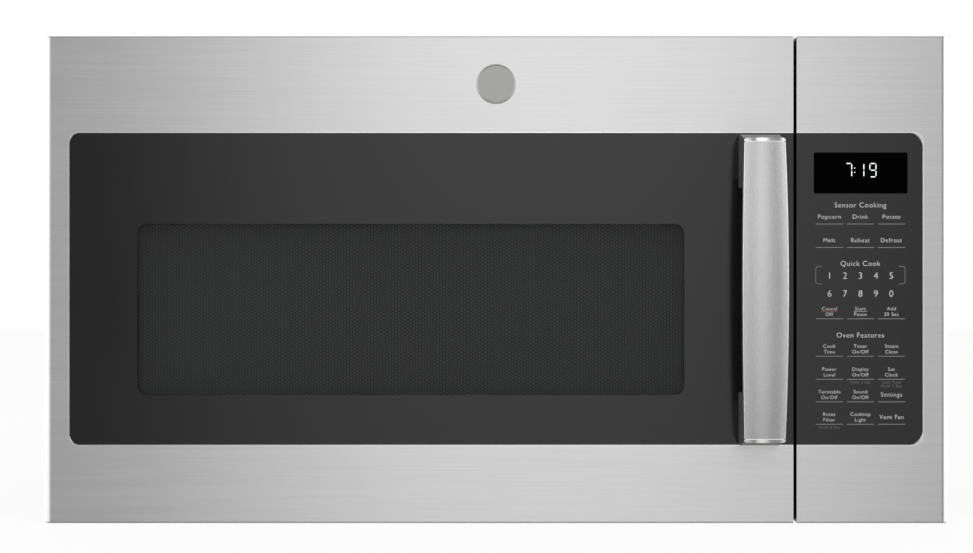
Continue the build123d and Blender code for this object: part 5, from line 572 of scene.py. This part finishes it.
class Figure:
    """Flat strokes, discs and letters in X and Z that become one thin piece."""

    def __init__(self) -> None:
        """Start an empty figure."""
        self.points: List[np.ndarray] = []
        self.faces: Dict[int, List[np.ndarray]] = {}
        self.count = 0

    def take(self, points: np.ndarray, faces: Sequence[np.ndarray]) -> None:
        """Add points and groups of faces, whose corners count from the first new point."""
        self.points.append(np.asarray(points, dtype=float))
        for group in faces:
            shifted = np.asarray(group, dtype=int) + self.count
            self.faces.setdefault(shifted.shape[1], []).append(shifted)
        self.count += len(points)

    def polygon(self, outline: Sequence[Point]) -> None:
        """Add one filled outline, anticlockwise as seen from the front."""
        self.take(np.asarray(outline), [np.arange(len(outline))[None, :]])

    def bar(self, start: Point, stop: Point, width: float) -> None:
        """Add a straight stroke with square ends."""
        first, last = np.asarray(start), np.asarray(stop)
        along = (last - first) / float(np.linalg.norm(last - first))
        side = np.array([-along[1], along[0]]) * width / 2.0
        self.polygon([first - side, last - side, last + side, first + side])

    def disc(self, centre: Point, radius: float, sides: int = 12) -> None:
        """Add a filled disc."""
        self.polygon(np.asarray(centre) + radius * rays(0.0, 360.0, sides)[:-1])

    def ribbon(self, inner: np.ndarray, outer: np.ndarray, closed: bool = False) -> None:
        """Add quads between two rows of points, the outer row on the right of the inner."""
        number = len(inner)
        here = np.arange(number if closed else number - 1)
        after = (here + 1) % number
        quads = np.column_stack([here, here + number, after + number, after])
        self.take(np.vstack([inner, outer]), [quads])

    def arc(self, centre: Point, radius: float, width: float, start: float, stop: float,
            sides: int = 8) -> None:
        """Add a stroke along a circle from one angle in degrees to another, anticlockwise."""
        middle, ray = np.asarray(centre), rays(start, stop, sides)
        self.ribbon(middle + ray * (radius - width / 2.0), middle + ray * (radius + width / 2.0))

    def text(self, words: str, centre: Point, height: float, width: float = 0.0) -> None:
        """Add words in the built-in face.

        Args:
            words: what is written, on one line.
            centre: where the middle of the words goes.
            height: height of a capital.
            width: width that the words are held to where they would be wider; 0 for none.
        """
        points, triangles = letter_shapes(words)
        scaled = points * height / letter_height()
        left, right = scaled[:, 0].min(), scaled[:, 0].max()
        narrow = min(1.0, width / (right - left)) if width else 1.0
        middle = np.array([(right + left) / 2.0, height / 2.0])
        self.take((scaled - middle) * np.array([narrow, 1.0]) + np.asarray(centre), [triangles])

    def build(self, name: str, finish: Material, front_y: float,
              back_y: float) -> Piece:
        """Make the piece between two levels of Y."""
        groups = [np.vstack(group) for group in self.faces.values()]
        return thicken(name, finish, np.vstack(self.points), groups, front_y, back_y)


def round_loop(low: Point, high: Point, radius: float, sides: int = 10) -> np.ndarray:
    """Points anticlockwise round a rectangle with round corners, in X and Z."""
    corners = ((high[0] - radius, low[1] + radius, -90.0),
               (high[0] - radius, high[1] - radius, 0.0),
               (low[0] + radius, high[1] - radius, 90.0),
               (low[0] + radius, low[1] + radius, 180.0))
    return np.vstack([np.array([x, z]) + radius * rays(start, start + 90.0, sides)
                      for x, z, start in corners])


def grown(low: Point, high: Point, reach: float) -> Tuple[Point, Point]:
    """Rectangle that reaches further out on every side."""
    return (low[0] - reach, low[1] - reach), (high[0] + reach, high[1] + reach)


LETTER_SPACE = 1.10
LETTER_THINNING = -0.012
LEAST_AREA = 1e-9


def letter_shapes(words: str) -> Tuple[np.ndarray, np.ndarray]:
    """Points in X and Z and front-facing triangles of words on the base line."""
    curve = bpy.data.curves.new("letters", "FONT")
    curve.body = words
    curve.resolution_u = 3
    curve.space_character = LETTER_SPACE
    curve.offset = LETTER_THINNING
    curve.fill_mode = "FRONT"
    holder = bpy.data.objects.new("letters", curve)
    bpy.context.collection.objects.link(holder)
    bpy.context.view_layer.update()
    flat = bpy.data.meshes.new_from_object(holder)
    flat.calc_loop_triangles()
    points = np.empty(len(flat.vertices) * 3)
    flat.vertices.foreach_get("co", points)
    corners = np.empty(len(flat.loop_triangles) * 3, dtype=np.int32)
    flat.loop_triangles.foreach_get("vertices", corners)
    bpy.data.objects.remove(holder)
    bpy.data.curves.remove(curve)
    bpy.data.meshes.remove(flat)
    points = points.reshape(-1, 3)[:, :2]
    corners = corners.reshape(-1, 3)
    sides = points[corners]
    first, second = sides[:, 1] - sides[:, 0], sides[:, 2] - sides[:, 0]
    area = first[:, 0] * second[:, 1] - first[:, 1] * second[:, 0]
    corners[area < 0.0] = corners[area < 0.0][:, ::-1]
    return points, corners[np.abs(area) > LEAST_AREA]


def letter_height() -> float:
    """Height of a capital of the built-in face at its own size."""
    points, _ = letter_shapes("H")
    return float(points[:, 1].max())


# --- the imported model's finishes ----------------------------------------------------------
SLOT_FINISHES: Dict[str, Finish] = {
    "stainless": BrushedMetal((0.655, 0.655, 0.655), 0.30),
    "handle_steel": BrushedMetal((0.56, 0.56, 0.56), 0.26, Grain.UPRIGHT, line_scale=2600.0,
                                 line_contrast=0.035),
    "galvanised": ZincSheet((0.52, 0.53, 0.54)),
    "case_paint": Coating((0.055, 0.056, 0.058), 0.42),
    "plate_paint": Coating((0.42, 0.43, 0.44), 0.40),
    "cavity_enamel": Coating((0.30, 0.30, 0.29), 0.28, peel_scale=420.0, peel_depth=0.00002,
                             fleck=0.10, coat=0.4),
    "black_glass": PrintedGlass((0.0075, 0.0076, 0.0080)),
    "clear_glass": ClearSheet((0.80, 0.90, 0.88), alpha=0.30),
    "clear_plastic": ClearSheet((0.90, 0.90, 0.88), alpha=0.38, roughness=0.25),
    "black_plastic": Moulding((0.014, 0.014, 0.015), 0.46),
    "grey_plastic": Moulding((0.16, 0.16, 0.165), 0.50),
    "white_plastic": Moulding((0.74, 0.74, 0.71), 0.42),
    "screen_steel": Coating((0.020, 0.020, 0.021), 0.5),
    "polished": PolishedMetal((0.80, 0.80, 0.79)),
    "zinc": ZincSheet((0.62, 0.61, 0.55), spangle=300.0, roughness=0.30),
    "aluminium": WovenMesh((0.72, 0.73, 0.74)),
    "mica": Coating((0.42, 0.36, 0.27), 0.55, peel_scale=180.0, peel_depth=0.00005, fleck=0.16),
    "core_steel": BrushedMetal((0.24, 0.24, 0.25), 0.48, Grain.DEEP, line_scale=1600.0,
                               line_contrast=0.25),
    "motor_steel": ZincSheet((0.48, 0.48, 0.49), spangle=140.0, roughness=0.36),
    "board_green": CircuitBoard((0.020, 0.115, 0.050)),
    "charcoal": Granules((0.030, 0.030, 0.031)),
    "spring_steel": PolishedMetal((0.56, 0.56, 0.57), 0.22),
}

NODE_FINISHES: Dict[str, Finish] = {
    "door_glass": PrintedGlass((0.0065, 0.0066, 0.0070), WINDOW),
    "handle_posts": Moulding((0.082, 0.082, 0.085), 0.34),
}


class ModelFinishes:
    """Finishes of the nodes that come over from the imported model."""

    def __init__(self) -> None:
        """Start without a material."""
        self.made: Dict[str, Material] = {}

    def of(self, slot: str) -> Material:
        """The material of a slot, made on first use."""
        if slot not in self.made:
            self.made[slot] = SLOT_FINISHES[slot].material(f"finish_{slot}")
        return self.made[slot]

    def dress(self) -> None:
        """Put the finish of its slot on each node, then the nodes' own finishes on those."""
        for name, node in frame["nodes"].items():
            node.data.materials.clear()
            node.data.materials.append(self.of(SLOTS[name]))
        for name, finish in NODE_FINISHES.items():
            frame["nodes"][name].data.materials[0] = finish.material(f"finish_{name}")
        LOG.info("dressed %d nodes in %d finishes", len(frame["nodes"]),
                 len(self.made) + len(NODE_FINISHES))


# --- front trim -------------------------------------------------------------------------
@dataclass
class Badge:
    """Blank round plate on the steel above the glass."""

    radius: float = 16.6 * MM
    rise: float = 0.9 * MM
    rim: float = 0.9 * MM
    middle: Point = (0.0, 0.3688)
    sides: int = 96
    pin_hole: float = 1e-6
    profile: Tuple[float, ...] = (-0.2, -0.2, 0.75, 1.0, 1.0, 0.7, 0.7)

    def build(self) -> None:
        """Turn the profile of a shallow dish about the Y axis through its middle.

        Row i of the grid holds the ring of profile point i, whose level is a share of the rise.
        The first and the last ring are next to the axis, and a face closes each of them.
        """
        face = front_of("door_skin")
        slope = 1.0 - np.array([0.3, 1.0, 1.5]) * self.rim / self.radius
        radii = np.array([self.pin_hole, 1.0, 1.0, *slope, self.pin_hole]) * self.radius
        levels = face - self.rise * np.array(self.profile)
        turn = np.linspace(0.0, 2.0 * np.pi, self.sides, endpoint=False)
        x = self.middle[0] + radii[:, None] * np.cos(turn)
        z = self.middle[1] + radii[:, None] * np.sin(turn)
        y = np.broadcast_to(levels[:, None], x.shape)
        points = np.stack([x, y, z], axis=2).reshape(-1, 3)
        row, step = np.meshgrid(np.arange(len(radii) - 1), np.arange(self.sides), indexing="ij")
        first = row * self.sides + step
        second = row * self.sides + (step + 1) % self.sides
        quads = np.stack([first, second, second + self.sides, first + self.sides], axis=2)
        ends = [list(range(self.sides))[::-1],
                [(len(radii) - 1) * self.sides + index for index in range(self.sides)]]
        finish = BrushedMetal((0.40, 0.40, 0.395), 0.36).material("badge_steel")
        faces = quads.reshape(-1, 4).tolist() + ends
        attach(add_piece("badge_disc", finish, points, faces), "door")


@dataclass
class PerforatedScreen:
    """Steel screen behind the door glass: a raised middle with holes, its rim and flange."""

    pitch: float = 2.9 * MM
    hole: float = 1.02 * MM
    corner: float = 9.0 * MM
    overlap: float = 1.6 * MM
    rim: float = 6.0 * MM
    sheet: float = 0.5 * MM
    rim_sheets: float = 1.6
    step_back: float = 0.05 * MM

    def hole_centres(self, low: Point, high: Point) -> np.ndarray:
        """Centres of a staggered grid whose nearest neighbours stand one above the other.

        Column c lies at c times the pitch times half the root of 3, and odd columns are
        shifted up by half the pitch; centres outside the rounded rectangle are dropped.
        """
        middle = (np.asarray(low) + np.asarray(high)) / 2.0
        half = (np.asarray(high) - np.asarray(low)) / 2.0
        step = self.pitch * math.sqrt(3.0) / 2.0
        columns = np.arange(-int(half[0] / step), int(half[0] / step) + 1)
        rows = np.arange(-int(half[1] / self.pitch) - 1, int(half[1] / self.pitch) + 2)
        column, row = np.meshgrid(columns, rows, indexing="ij")
        x = column * step
        z = (row + 0.5 * (column % 2)) * self.pitch
        past = np.stack([np.abs(x) - half[0] + self.corner, np.abs(z) - half[1] + self.corner])
        reach = np.linalg.norm(np.maximum(past, 0.0), axis=0)
        inside = (reach <= self.corner) & (np.abs(x) <= half[0]) & (np.abs(z) <= half[1])
        return np.column_stack([x[inside], z[inside]]) + middle

    def cells(self, centres: np.ndarray) -> Tuple[np.ndarray, np.ndarray]:
        """Points and quads of six-sided cells, each with a six-sided hole.

        The cell corners lie at pitch over root 3 from the centre, which is where three cells
        of the grid meet, so equal corners are merged and the sheet is one closed surface.
        """
        ray = rays(0.0, 300.0, 5)
        inner = centres[:, None, :] + ray * self.hole
        outer = centres[:, None, :] + ray * self.pitch / math.sqrt(3.0)
        points = np.concatenate([inner, outer], axis=1).reshape(-1, 2)
        here = np.arange(6)
        after = (here + 1) % 6
        quad = np.column_stack([here, here + 6, after + 6, after])
        quads = quad[None, :, :] + 12 * np.arange(len(centres))[:, None, None]
        keys = np.round(points / (0.01 * MM)).astype(np.int64)
        _, kept, merged = np.unique(keys, axis=0, return_index=True, return_inverse=True)
        return points[kept], merged.reshape(-1)[quads.reshape(-1, 4)]

    def holes(self, finish: Material, front: float) -> List[Piece]:
        """The sheet with holes in two halves, so that each stays light."""
        centres = self.hole_centres(*grown(*WINDOW, self.overlap))
        parting = float(np.median(centres[:, 0]))
        halves = {"left": centres[:, 0] <= parting, "right": centres[:, 0] > parting}
        level = front + self.step_back
        pieces = []
        for side, chosen in halves.items():
            points, quads = self.cells(centres[chosen])
            pieces.append(thicken(f"screen_{side}", finish, points, [quads], level,
                                  level + self.sheet))
        return pieces

    def surround(self, finish: Material, front: float) -> List[Piece]:
        """Flat rim round the holes, the skirt behind its edge and the flange round that."""
        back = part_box("window_screen")[1][1]
        corner = self.corner
        inner = round_loop(*WINDOW, corner)
        edge = round_loop(*grown(*WINDOW, self.rim), corner)
        wall = round_loop(*grown(*WINDOW, self.rim - self.sheet), corner - self.sheet)
        border = round_loop(*sheet_of("window_screen"), corner)
        rim_back = front + self.rim_sheets * self.sheet
        bands = (("screen_rim", inner, edge, front, rim_back),
                 ("screen_skirt", wall, edge, rim_back, back - self.sheet),
                 ("screen_flange", wall, border, back - self.sheet, back))
        pieces = []
        for name, inside, outside, near, far in bands:
            figure = Figure()
            figure.ribbon(inside, outside, True)
            pieces.append(figure.build(name, finish, near, far))
        return pieces

    def build(self) -> None:
        """Make the screen in place of the plain one."""
        front = front_of("window_screen")
        paint = Coating((0.062, 0.062, 0.063), 0.5, peel_scale=900.0, peel_depth=0.00001)
        finish = paint.material("screen_paint")
        for piece in self.holes(finish, front) + self.surround(finish, front):
            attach(piece, "door")
            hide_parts("window_screen")


@dataclass
class GlassTrim:
    """Bevels of the steel along both panes of glass, with a painted highlight: a flat strip of
    brighter, smoother steel stands in for the light on the rounded edge.
    """

    width: float = 0.7 * MM
    rise: float = 0.15 * MM
    corner: float = 8.0 * MM
    corner_steps: int = 10

    def build(self) -> None:
        """Lay a thin frame of brighter steel round each glass, open where the two panes meet, as
        the painted highlight of the rounded edge.
        """
        # Brighter and smoother than the stainless face: a painted highlight for the light that
        # the rounded cut-out edge catches.
        finish = PolishedMetal((0.86, 0.86, 0.85), 0.16).material("bevel_highlight_steel")
        for body, glass, skin, open_side in (("door", "door_glass", "door_skin", 1),
                                             ("casing", "control_glass", "control_skin", -1)):
            face = front_of(skin)
            figure = Figure()
            figure.ribbon(*self.open_frame(*sheet_of(glass), open_side))
            piece = figure.build(f"{glass}_bevel", finish, face - self.rise, face + self.rise)
            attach(piece, body)

    def open_frame(self, low: Point, high: Point, open_side: int) -> List[np.ndarray]:
        """Inner and outer row of points of a frame that has no bar on one side.

        The rows run anticlockwise as seen from the front, from one end of the open side to the
        other: along a long edge, round two corners and back along the other long edge.
        """
        shut, free = (low[0], high[0]) if open_side > 0 else (high[0], low[0])
        start, stop = (high[1], low[1]) if open_side > 0 else (low[1], high[1])
        side, turn_from = shut + self.corner * open_side, 90.0 * open_side
        rows = []
        for edge in (0.0, self.width):
            lift = edge * open_side
            parts = [np.array([[free, start + lift]])]
            for level, inward, first in ((start, -open_side, turn_from),
                                         (stop, open_side, turn_from + 90.0)):
                centre = np.array([side, level + self.corner * inward])
                parts.append(centre + (self.corner + edge)
                             * rays(first, first + 90.0, self.corner_steps))
            parts.append(np.array([[free, stop - lift]]))
            rows.append(np.vstack(parts))
        return rows


class Segment(Enum):
    """Bars of a lit figure, by their usual letters, as ends on a grid one wide and two high."""

    A = ((0.0, 2.0), (1.0, 2.0))
    F = ((0.0, 1.0), (0.0, 2.0))
    B = ((1.0, 1.0), (1.0, 2.0))
    G = ((0.0, 1.0), (1.0, 1.0))
    E = ((0.0, 0.0), (0.0, 1.0))
    C = ((1.0, 0.0), (1.0, 1.0))
    D = ((0.0, 0.0), (1.0, 0.0))


SHOWN = {"0": "AFBECD", "1": "BC", "2": "ABGED", "3": "ABGCD", "4": "FBGC", "5": "AFGCD",
         "6": "AFGECD", "7": "ABC", "8": "AFBGECD", "9": "AFBGCD"}


@dataclass
class Clock:
    """Lit time of day on the display."""

    shown: str = "7:19"
    height: float = 11.2 * MM
    width: float = 5.1 * MM
    stroke: float = 0.75 * MM
    gap: float = 0.30 * MM
    step: float = 10.15 * MM
    rise: float = 0.08 * MM
    middle: Point = (0.3056, 0.2967)
    dot_reach: float = 0.16
    dot_share: float = 0.6

    def digit(self, figure: Figure, mark: str, left: float) -> None:
        """Add the lit bars of one digit whose left bars stand at a place in X."""
        base = self.middle[1] - self.height / 2.0
        for letter in SHOWN[mark]:
            ends = np.array(Segment[letter].value) * np.array([self.width, self.height / 2.0])
            ends += np.array([left, base])
            along = (ends[1] - ends[0]) / np.linalg.norm(ends[1] - ends[0])
            trim = along * (self.gap + self.stroke / 2.0)
            figure.bar(ends[0] + trim, ends[1] - trim, self.stroke)

    def build(self, face: float) -> None:
        """Add the lit digits in front of a face."""
        figure = Figure()
        digits = [mark for mark in self.shown if mark != ":"]
        place = self.middle[0] - ((len(digits) - 1) * self.step + self.width) / 2.0
        for mark in self.shown:
            if mark == ":":
                for level in (-self.dot_reach, self.dot_reach):
                    figure.disc((place - (self.step - self.width) / 2.0,
                                 self.middle[1] + level * self.height),
                                self.stroke * self.dot_share)
            else:
                self.digit(figure, mark, place)
                place += self.step
        finish = Glow((0.78, 0.80, 0.82), 0.55).material("display_light")
        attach(figure.build("display_digits", finish, face - self.rise, face), "casing")


@dataclass(frozen=True)
class Key:
    """One touch key: its words from top to bottom and the dim hint under its line."""

    words: Tuple[str, ...]
    hints: Tuple[str, ...] = ()


@dataclass(frozen=True)
class KeyRow:
    """Keys side by side over their lines."""

    level: float
    keys: Tuple[Key, ...]


@dataclass
class ControlPanel:
    """Printed marks with a faint painted glow, and lit marks, on the control glass."""

    middle: float = 305.3 * MM
    column_step: float = 26.0 * MM
    line_length: float = 22.8 * MM
    line_width: float = 0.40 * MM
    bracket_width: float = 0.30 * MM
    capital: float = 3.5 * MM
    small_capital: float = 2.9 * MM
    hint_capital: float = 2.4 * MM
    title_capital: float = 4.1 * MM
    word_step: float = 4.7 * MM
    line_drop: float = 6.1 * MM
    digit_height: float = 5.3 * MM
    digit_step: float = 12.9 * MM
    digit_levels: Tuple[float, float] = (0.2083, 0.1933)
    rise: float = 0.06 * MM
    hint_drop: float = 2.4 * MM
    hint_step: float = 3.2 * MM
    accent_row: int = 2
    bracket_height: float = 14.6 * MM
    bracket_foot: float = 5.2 * MM
    bracket_corner: float = 2.2 * MM
    bracket_lift: float = 0.4 * MM
    screen_low: Point = (266.2 * MM, 277.1 * MM)
    screen_high: Point = (344.8 * MM, 311.5 * MM)
    screen_corner: float = 1.2 * MM
    titles: Tuple[Tuple[str, float], ...] = (("Sensor Cooking", 0.2675),
                                             ("Quick Cook", 0.2185),
                                             ("Oven Features", 0.1585))
    rows: Tuple[KeyRow, ...] = (
        KeyRow(0.2577, (Key(("Popcorn",)), Key(("Drink",)), Key(("Potato",)))),
        KeyRow(0.2380, (Key(("Melt",)), Key(("Reheat",)), Key(("Defrost",)))),
        KeyRow(0.1783, (Key(("Cancel", "Off")), Key(("Start", "Pause")),
                        Key(("Add", "30 Sec")))),
        KeyRow(0.1469, (Key(("Cook", "Time")), Key(("Timer", "On/Off")),
                        Key(("Steam", "Clean")))),
        KeyRow(0.1276, (Key(("Power", "Level")), Key(("Display", "On/Off"), ("Hold 3 Sec",)),
                        Key(("Set", "Clock"), ("Lock Keys", "Hold 3 Sec")))),
        KeyRow(0.1087, (Key(("Turntable", "On/Off")), Key(("Sound", "On/Off")),
                        Key(("Settings",)))),
        KeyRow(0.0899, (Key(("Reset", "Filter"), ("Hold 3 Sec",)), Key(("Cooktop", "Light")),
                        Key(("Vent Fan",)))),
    )

    def columns(self, count: int, step: float) -> np.ndarray:
        """Places in X of some columns spread evenly about the panel's middle."""
        return self.middle + (np.arange(count) - (count - 1) / 2.0) * step

    def placed_keys(self) -> Iterator[Tuple[Key, float, float]]:
        """Each key with the X and Z of its middle."""
        for row in self.rows:
            for key, x in zip(row.keys, self.columns(len(row.keys), self.column_step)):
                yield key, x, row.level

    def word_marks(self) -> Figure:
        """Titles, key words and digits."""
        figure = Figure()
        for title, level in self.titles:
            figure.text(title, (self.middle, level), self.title_capital)
        for key, x, level in self.placed_keys():
            size = self.capital if len(key.words) == 1 else self.small_capital
            top = level + (len(key.words) - 1) * self.word_step / 2.0
            for index, word in enumerate(key.words):
                figure.text(word, (x, top - index * self.word_step), size, self.line_length)
        for level, marks in zip(self.digit_levels, ("12345", "67890")):
            for mark, x in zip(marks, self.columns(len(marks), self.digit_step)):
                figure.text(mark, (x, level), self.digit_height)
        return figure

    def line_marks(self) -> Figure:
        """Line under every key and the brackets round the upper row of digits."""
        figure = Figure()
        half = self.line_length / 2.0
        for _, x, middle in self.placed_keys():
            level = middle - self.line_drop
            figure.bar((x - half, level), (x + half, level), self.line_width)
        for side in (-1.0, 1.0):
            self.bracket(figure, side)
        return figure

    def bracket(self, figure: Figure, side: float) -> None:
        """Add a square bracket with round corners that opens to the panel's middle.

        Args:
            figure: what the bracket is added to.
            side: 1 for the bracket on the right, -1 for the one on the left.
        """
        x = self.middle + side * (self.column_step + self.line_length / 2.0)
        centre = self.digit_levels[0] + self.bracket_lift
        top, base = centre + self.bracket_height / 2.0, centre - self.bracket_height / 2.0
        corner, width = self.bracket_corner, self.bracket_width
        figure.bar((x, base + corner), (x, top - corner), width)
        for level, inward, start in ((top, -corner, 0.0 if side > 0.0 else 90.0),
                                     (base, corner, 270.0 if side > 0.0 else 180.0)):
            figure.arc((x - side * corner, level + inward), corner, width, start, start + 90.0)
            figure.bar((x - side * corner, level), (x - side * self.bracket_foot, level), width)

    def hint_marks(self) -> Figure:
        """Small words under the lines of some keys."""
        figure = Figure()
        for key, x, middle in self.placed_keys():
            for index, hint in enumerate(key.hints):
                level = middle - self.line_drop - self.hint_drop - self.hint_step * index
                figure.text(hint, (x, level), self.hint_capital, self.line_length)
        return figure

    def accent(self, column: int, length: float, width: float) -> Figure:
        """Line between the two words of a key in the row with the stop key."""
        x = self.columns(3, self.column_step)[column]
        level = self.rows[self.accent_row].level
        figure = Figure()
        figure.bar((x - length / 2.0, level), (x + length / 2.0, level), width)
        return figure

    def screen(self, glass_face: float) -> float:
        """Lay the dark display panel on the glass and give the Y of its front."""
        figure = Figure()
        figure.polygon(round_loop(self.screen_low, self.screen_high, self.screen_corner, 6))
        finish = Coating((0.0009, 0.0009, 0.0010), 0.30, peel_scale=500.0,
                         peel_depth=0.000002, fleck=0.3, shine=0.0)
        piece = figure.build("display_panel", finish.material("display_black"),
                             glass_face - self.rise, glass_face + self.rise)
        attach(piece, "casing")
        return glass_face - self.rise

    def build(self) -> None:
        """Put every mark on the control glass; the printed ones get a faint painted glow."""
        face = front_of("control_glass")
        # The last number of each print is the strength of a painted glow: the printed ink shines
        # a little by itself though it is no lamp.
        marks = (("key_words", self.word_marks(), "key_print_glow", (0.62, 0.63, 0.64), 0.05),
                 ("key_lines", self.line_marks(), "line_print_glow", (0.26, 0.265, 0.27), 0.03),
                 ("key_hints", self.hint_marks(), "hint_print_glow", (0.14, 0.14, 0.145), 0.02),
                 ("stop_line", self.accent(0, 14.0 * MM, 0.34 * MM), "stop_print_glow",
                  (0.36, 0.06, 0.05), 0.05),
                 ("start_line", self.accent(1, 12.0 * MM, 0.26 * MM), "start_print_glow",
                  (0.46, 0.46, 0.47), 0.05))
        for name, figure, glow_print_name, colour, strength in marks:
            finish = Glow(colour, strength).material(glow_print_name)
            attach(figure.build(name, finish, face - self.rise, face + self.rise), "casing")
        Clock().build(self.screen(face))


# --- room -------------------------------------------------------------------------------
@dataclass
class Room:
    """Pale room: floor, lights, sky and the camera of the photograph.

    Mirrors see the sky by sky_levels, which pair a place along X with a level. The two dims
    multiply it, from a first share to a second one between two values: sky_dim_low by Z, and
    sky_dim_far by the size of Z.
    """

    camera_place: Triple = (-0.008, -1.9135, 0.2076)
    focal_length: float = 75.0
    sensor_width: float = 36.0
    nearest_seen: float = 0.05
    floor_level: float = 0.0
    floor_half: float = 6.0
    floor_white: float = 0.89
    floor_mirror_share: float = 0.85
    lamp_aim: Triple = (0.0, -0.2, 0.2)
    sky_soft: float = 0.75
    sky_back: float = 0.9
    sky_back_turn: Point = (-0.08, 0.10)
    sky_dim_far: Tuple[float, ...] = (1.0, 0.30, 0.35, 0.85)
    sky_dim_low: Tuple[float, ...] = (0.57, 1.10, -0.30, 0.12)
    sky_peak: float = 2.3
    sky_levels: Tuple[Point, ...] = ((-1.0, 2.0), (-0.60, 1.7), (-0.46, 1.0), (-0.36, 0.84),
                                     (-0.27, 0.44), (-0.21, 0.23), (-0.18, 0.36),
                                     (-0.146, 0.73), (-0.10, 1.14), (-0.04, 1.35),
                                     (0.05, 1.43), (0.10, 1.33), (0.15, 1.21), (0.19, 1.0),
                                     (0.22, 0.70), (0.31, 0.36), (0.56, 0.30), (0.67, 1.7),
                                     (1.0, 2.3))

    def camera(self) -> None:
        """Set the camera straight at the front, level, at the photograph's distance."""
        data = bpy.data.cameras.new("main_camera")
        data.lens = self.focal_length
        data.sensor_width = self.sensor_width
        data.clip_start = self.nearest_seen
        holder = bpy.data.objects.new("main_camera", data)
        holder.location = self.camera_place
        holder.rotation_euler = (math.radians(90.0), 0.0, 0.0)
        bpy.context.collection.objects.link(holder)
        bpy.context.scene.camera = holder

    def sky(self) -> None:
        """Give the world a soft band of light for mirrors and plain white for the camera."""
        world = bpy.data.worlds.new("room")
        bpy.context.scene.world = world
        tree = NodeTree(world)
        x, y, z = tree.add("SeparateXYZ", tree.add("TexCoord").outputs["Generated"]).outputs
        ramp = tree.add("ValToRGB", tree.spread(x, 0.0, 1.0, -1.0, 1.0))
        keys = ramp.color_ramp.elements
        while len(keys) < len(self.sky_levels):
            keys.new(0.5)
        for key, (side, level) in zip(keys, self.sky_levels):
            key.position = (side + 1.0) / 2.0
            key.color = (*[level / self.sky_peak] * 3, 1.0)
        behind = tree.spread(y, 0.0, 1.0, *self.sky_back_turn)
        band = tree.blend(behind, ramp.outputs["Color"], (self.sky_back,) * 3)
        far = tree.spread(tree.sum("ABSOLUTE", z), *self.sky_dim_far)
        share = tree.sum("MULTIPLY", far, tree.spread(z, *self.sky_dim_low))
        shown = tree.add("VectorMath", band, operation="SCALE", Scale=share).outputs[0]
        white = (1.0, 1.0, 1.0)
        glossy, soft, plain = [tree.add("Background", colour, strength).outputs[0]
                               for colour, strength in ((shown, self.sky_peak),
                                                        (white, self.sky_soft), (white, 1.0))]
        path = tree.add("LightPath").outputs
        seen = tree.sum("MAXIMUM", path["Is Camera Ray"], path["Is Transmission Ray"])
        lit = tree.either(path["Is Glossy Ray"], soft, glossy)
        tree.add("OutputWorld", tree.either(seen, lit, plain))

    def lamp(self, name: str, place: Triple, size: Point, power: float) -> None:
        """Add an area light that looks at the front of the casing; mirrors miss it."""
        data = bpy.data.lights.new(name, "AREA")
        data.shape = "RECTANGLE"
        data.size, data.size_y = size
        data.energy = power
        holder = bpy.data.objects.new(name, data)
        holder.location = place
        holder.visible_glossy = False
        aim = np.asarray(self.lamp_aim) - np.asarray(place)
        across = math.hypot(aim[0], aim[1])
        holder.rotation_euler = (math.atan2(across, -aim[2]), 0.0,
                                 math.atan2(aim[1], aim[0]) - math.pi / 2.0)
        bpy.context.collection.objects.link(holder)

    def floor(self) -> Piece:
        """Lay a pale floor that is nearly white to the camera and keeps the shadow.

        Mirrors look through most of it to the sky, so that both halves of the front reflect
        the same room.
        """
        shader = Shader("floor_paint")
        tone = shader.blend(shader.noise(3.0, 2.0), (0.86, 0.86, 0.86), (0.88, 0.88, 0.88))
        shader.put(Base_Color=tone, Roughness=0.8, Specular_IOR_Level=0.1)
        path = shader.add("LightPath").outputs
        seen = shader.sum("ADD", path["Is Camera Ray"], path["Is Transmission Ray"])
        white, clear = [shader.add(kind).outputs[0] for kind in ("Emission", "BsdfTransparent")]
        lit = shader.either(shader.sum("MULTIPLY", seen, self.floor_white),
                            shader.surface.outputs[0], white)
        share = shader.sum("MULTIPLY", path["Is Glossy Ray"], self.floor_mirror_share)
        shader.feed(shader.output.inputs["Surface"], shader.either(share, lit, clear))
        half, level = self.floor_half, self.floor_level
        points = [(-half, -half, level), (half, -half, level), (half, half, level),
                  (-half, half, level)]
        return add_piece("room_floor", shader.material, np.array(points), [[0, 1, 2, 3]])

    def build(self) -> None:
        """Set up camera, sky, lights and floor."""
        bpy.context.scene.view_settings.view_transform = "Standard"
        self.camera()
        self.sky()
        self.lamp("key_light", (0.5, -2.4, 2.4), (2.4, 1.2), 38.0)
        self.lamp("fill_light", (-2.2, -1.8, 1.2), (1.6, 1.6), 12.0)
        self.floor()
        LOG.info("room is ready")


def main() -> None:
    """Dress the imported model, add its marks and trim, and set up the room."""
    logging.basicConfig(level=logging.INFO, format="%(message)s")
    ModelFinishes().dress()
    PerforatedScreen().build()
    Badge().build()
    GlassTrim().build()
    ControlPanel().build()
    Room().build()


if __name__ == "__main__":
    main()
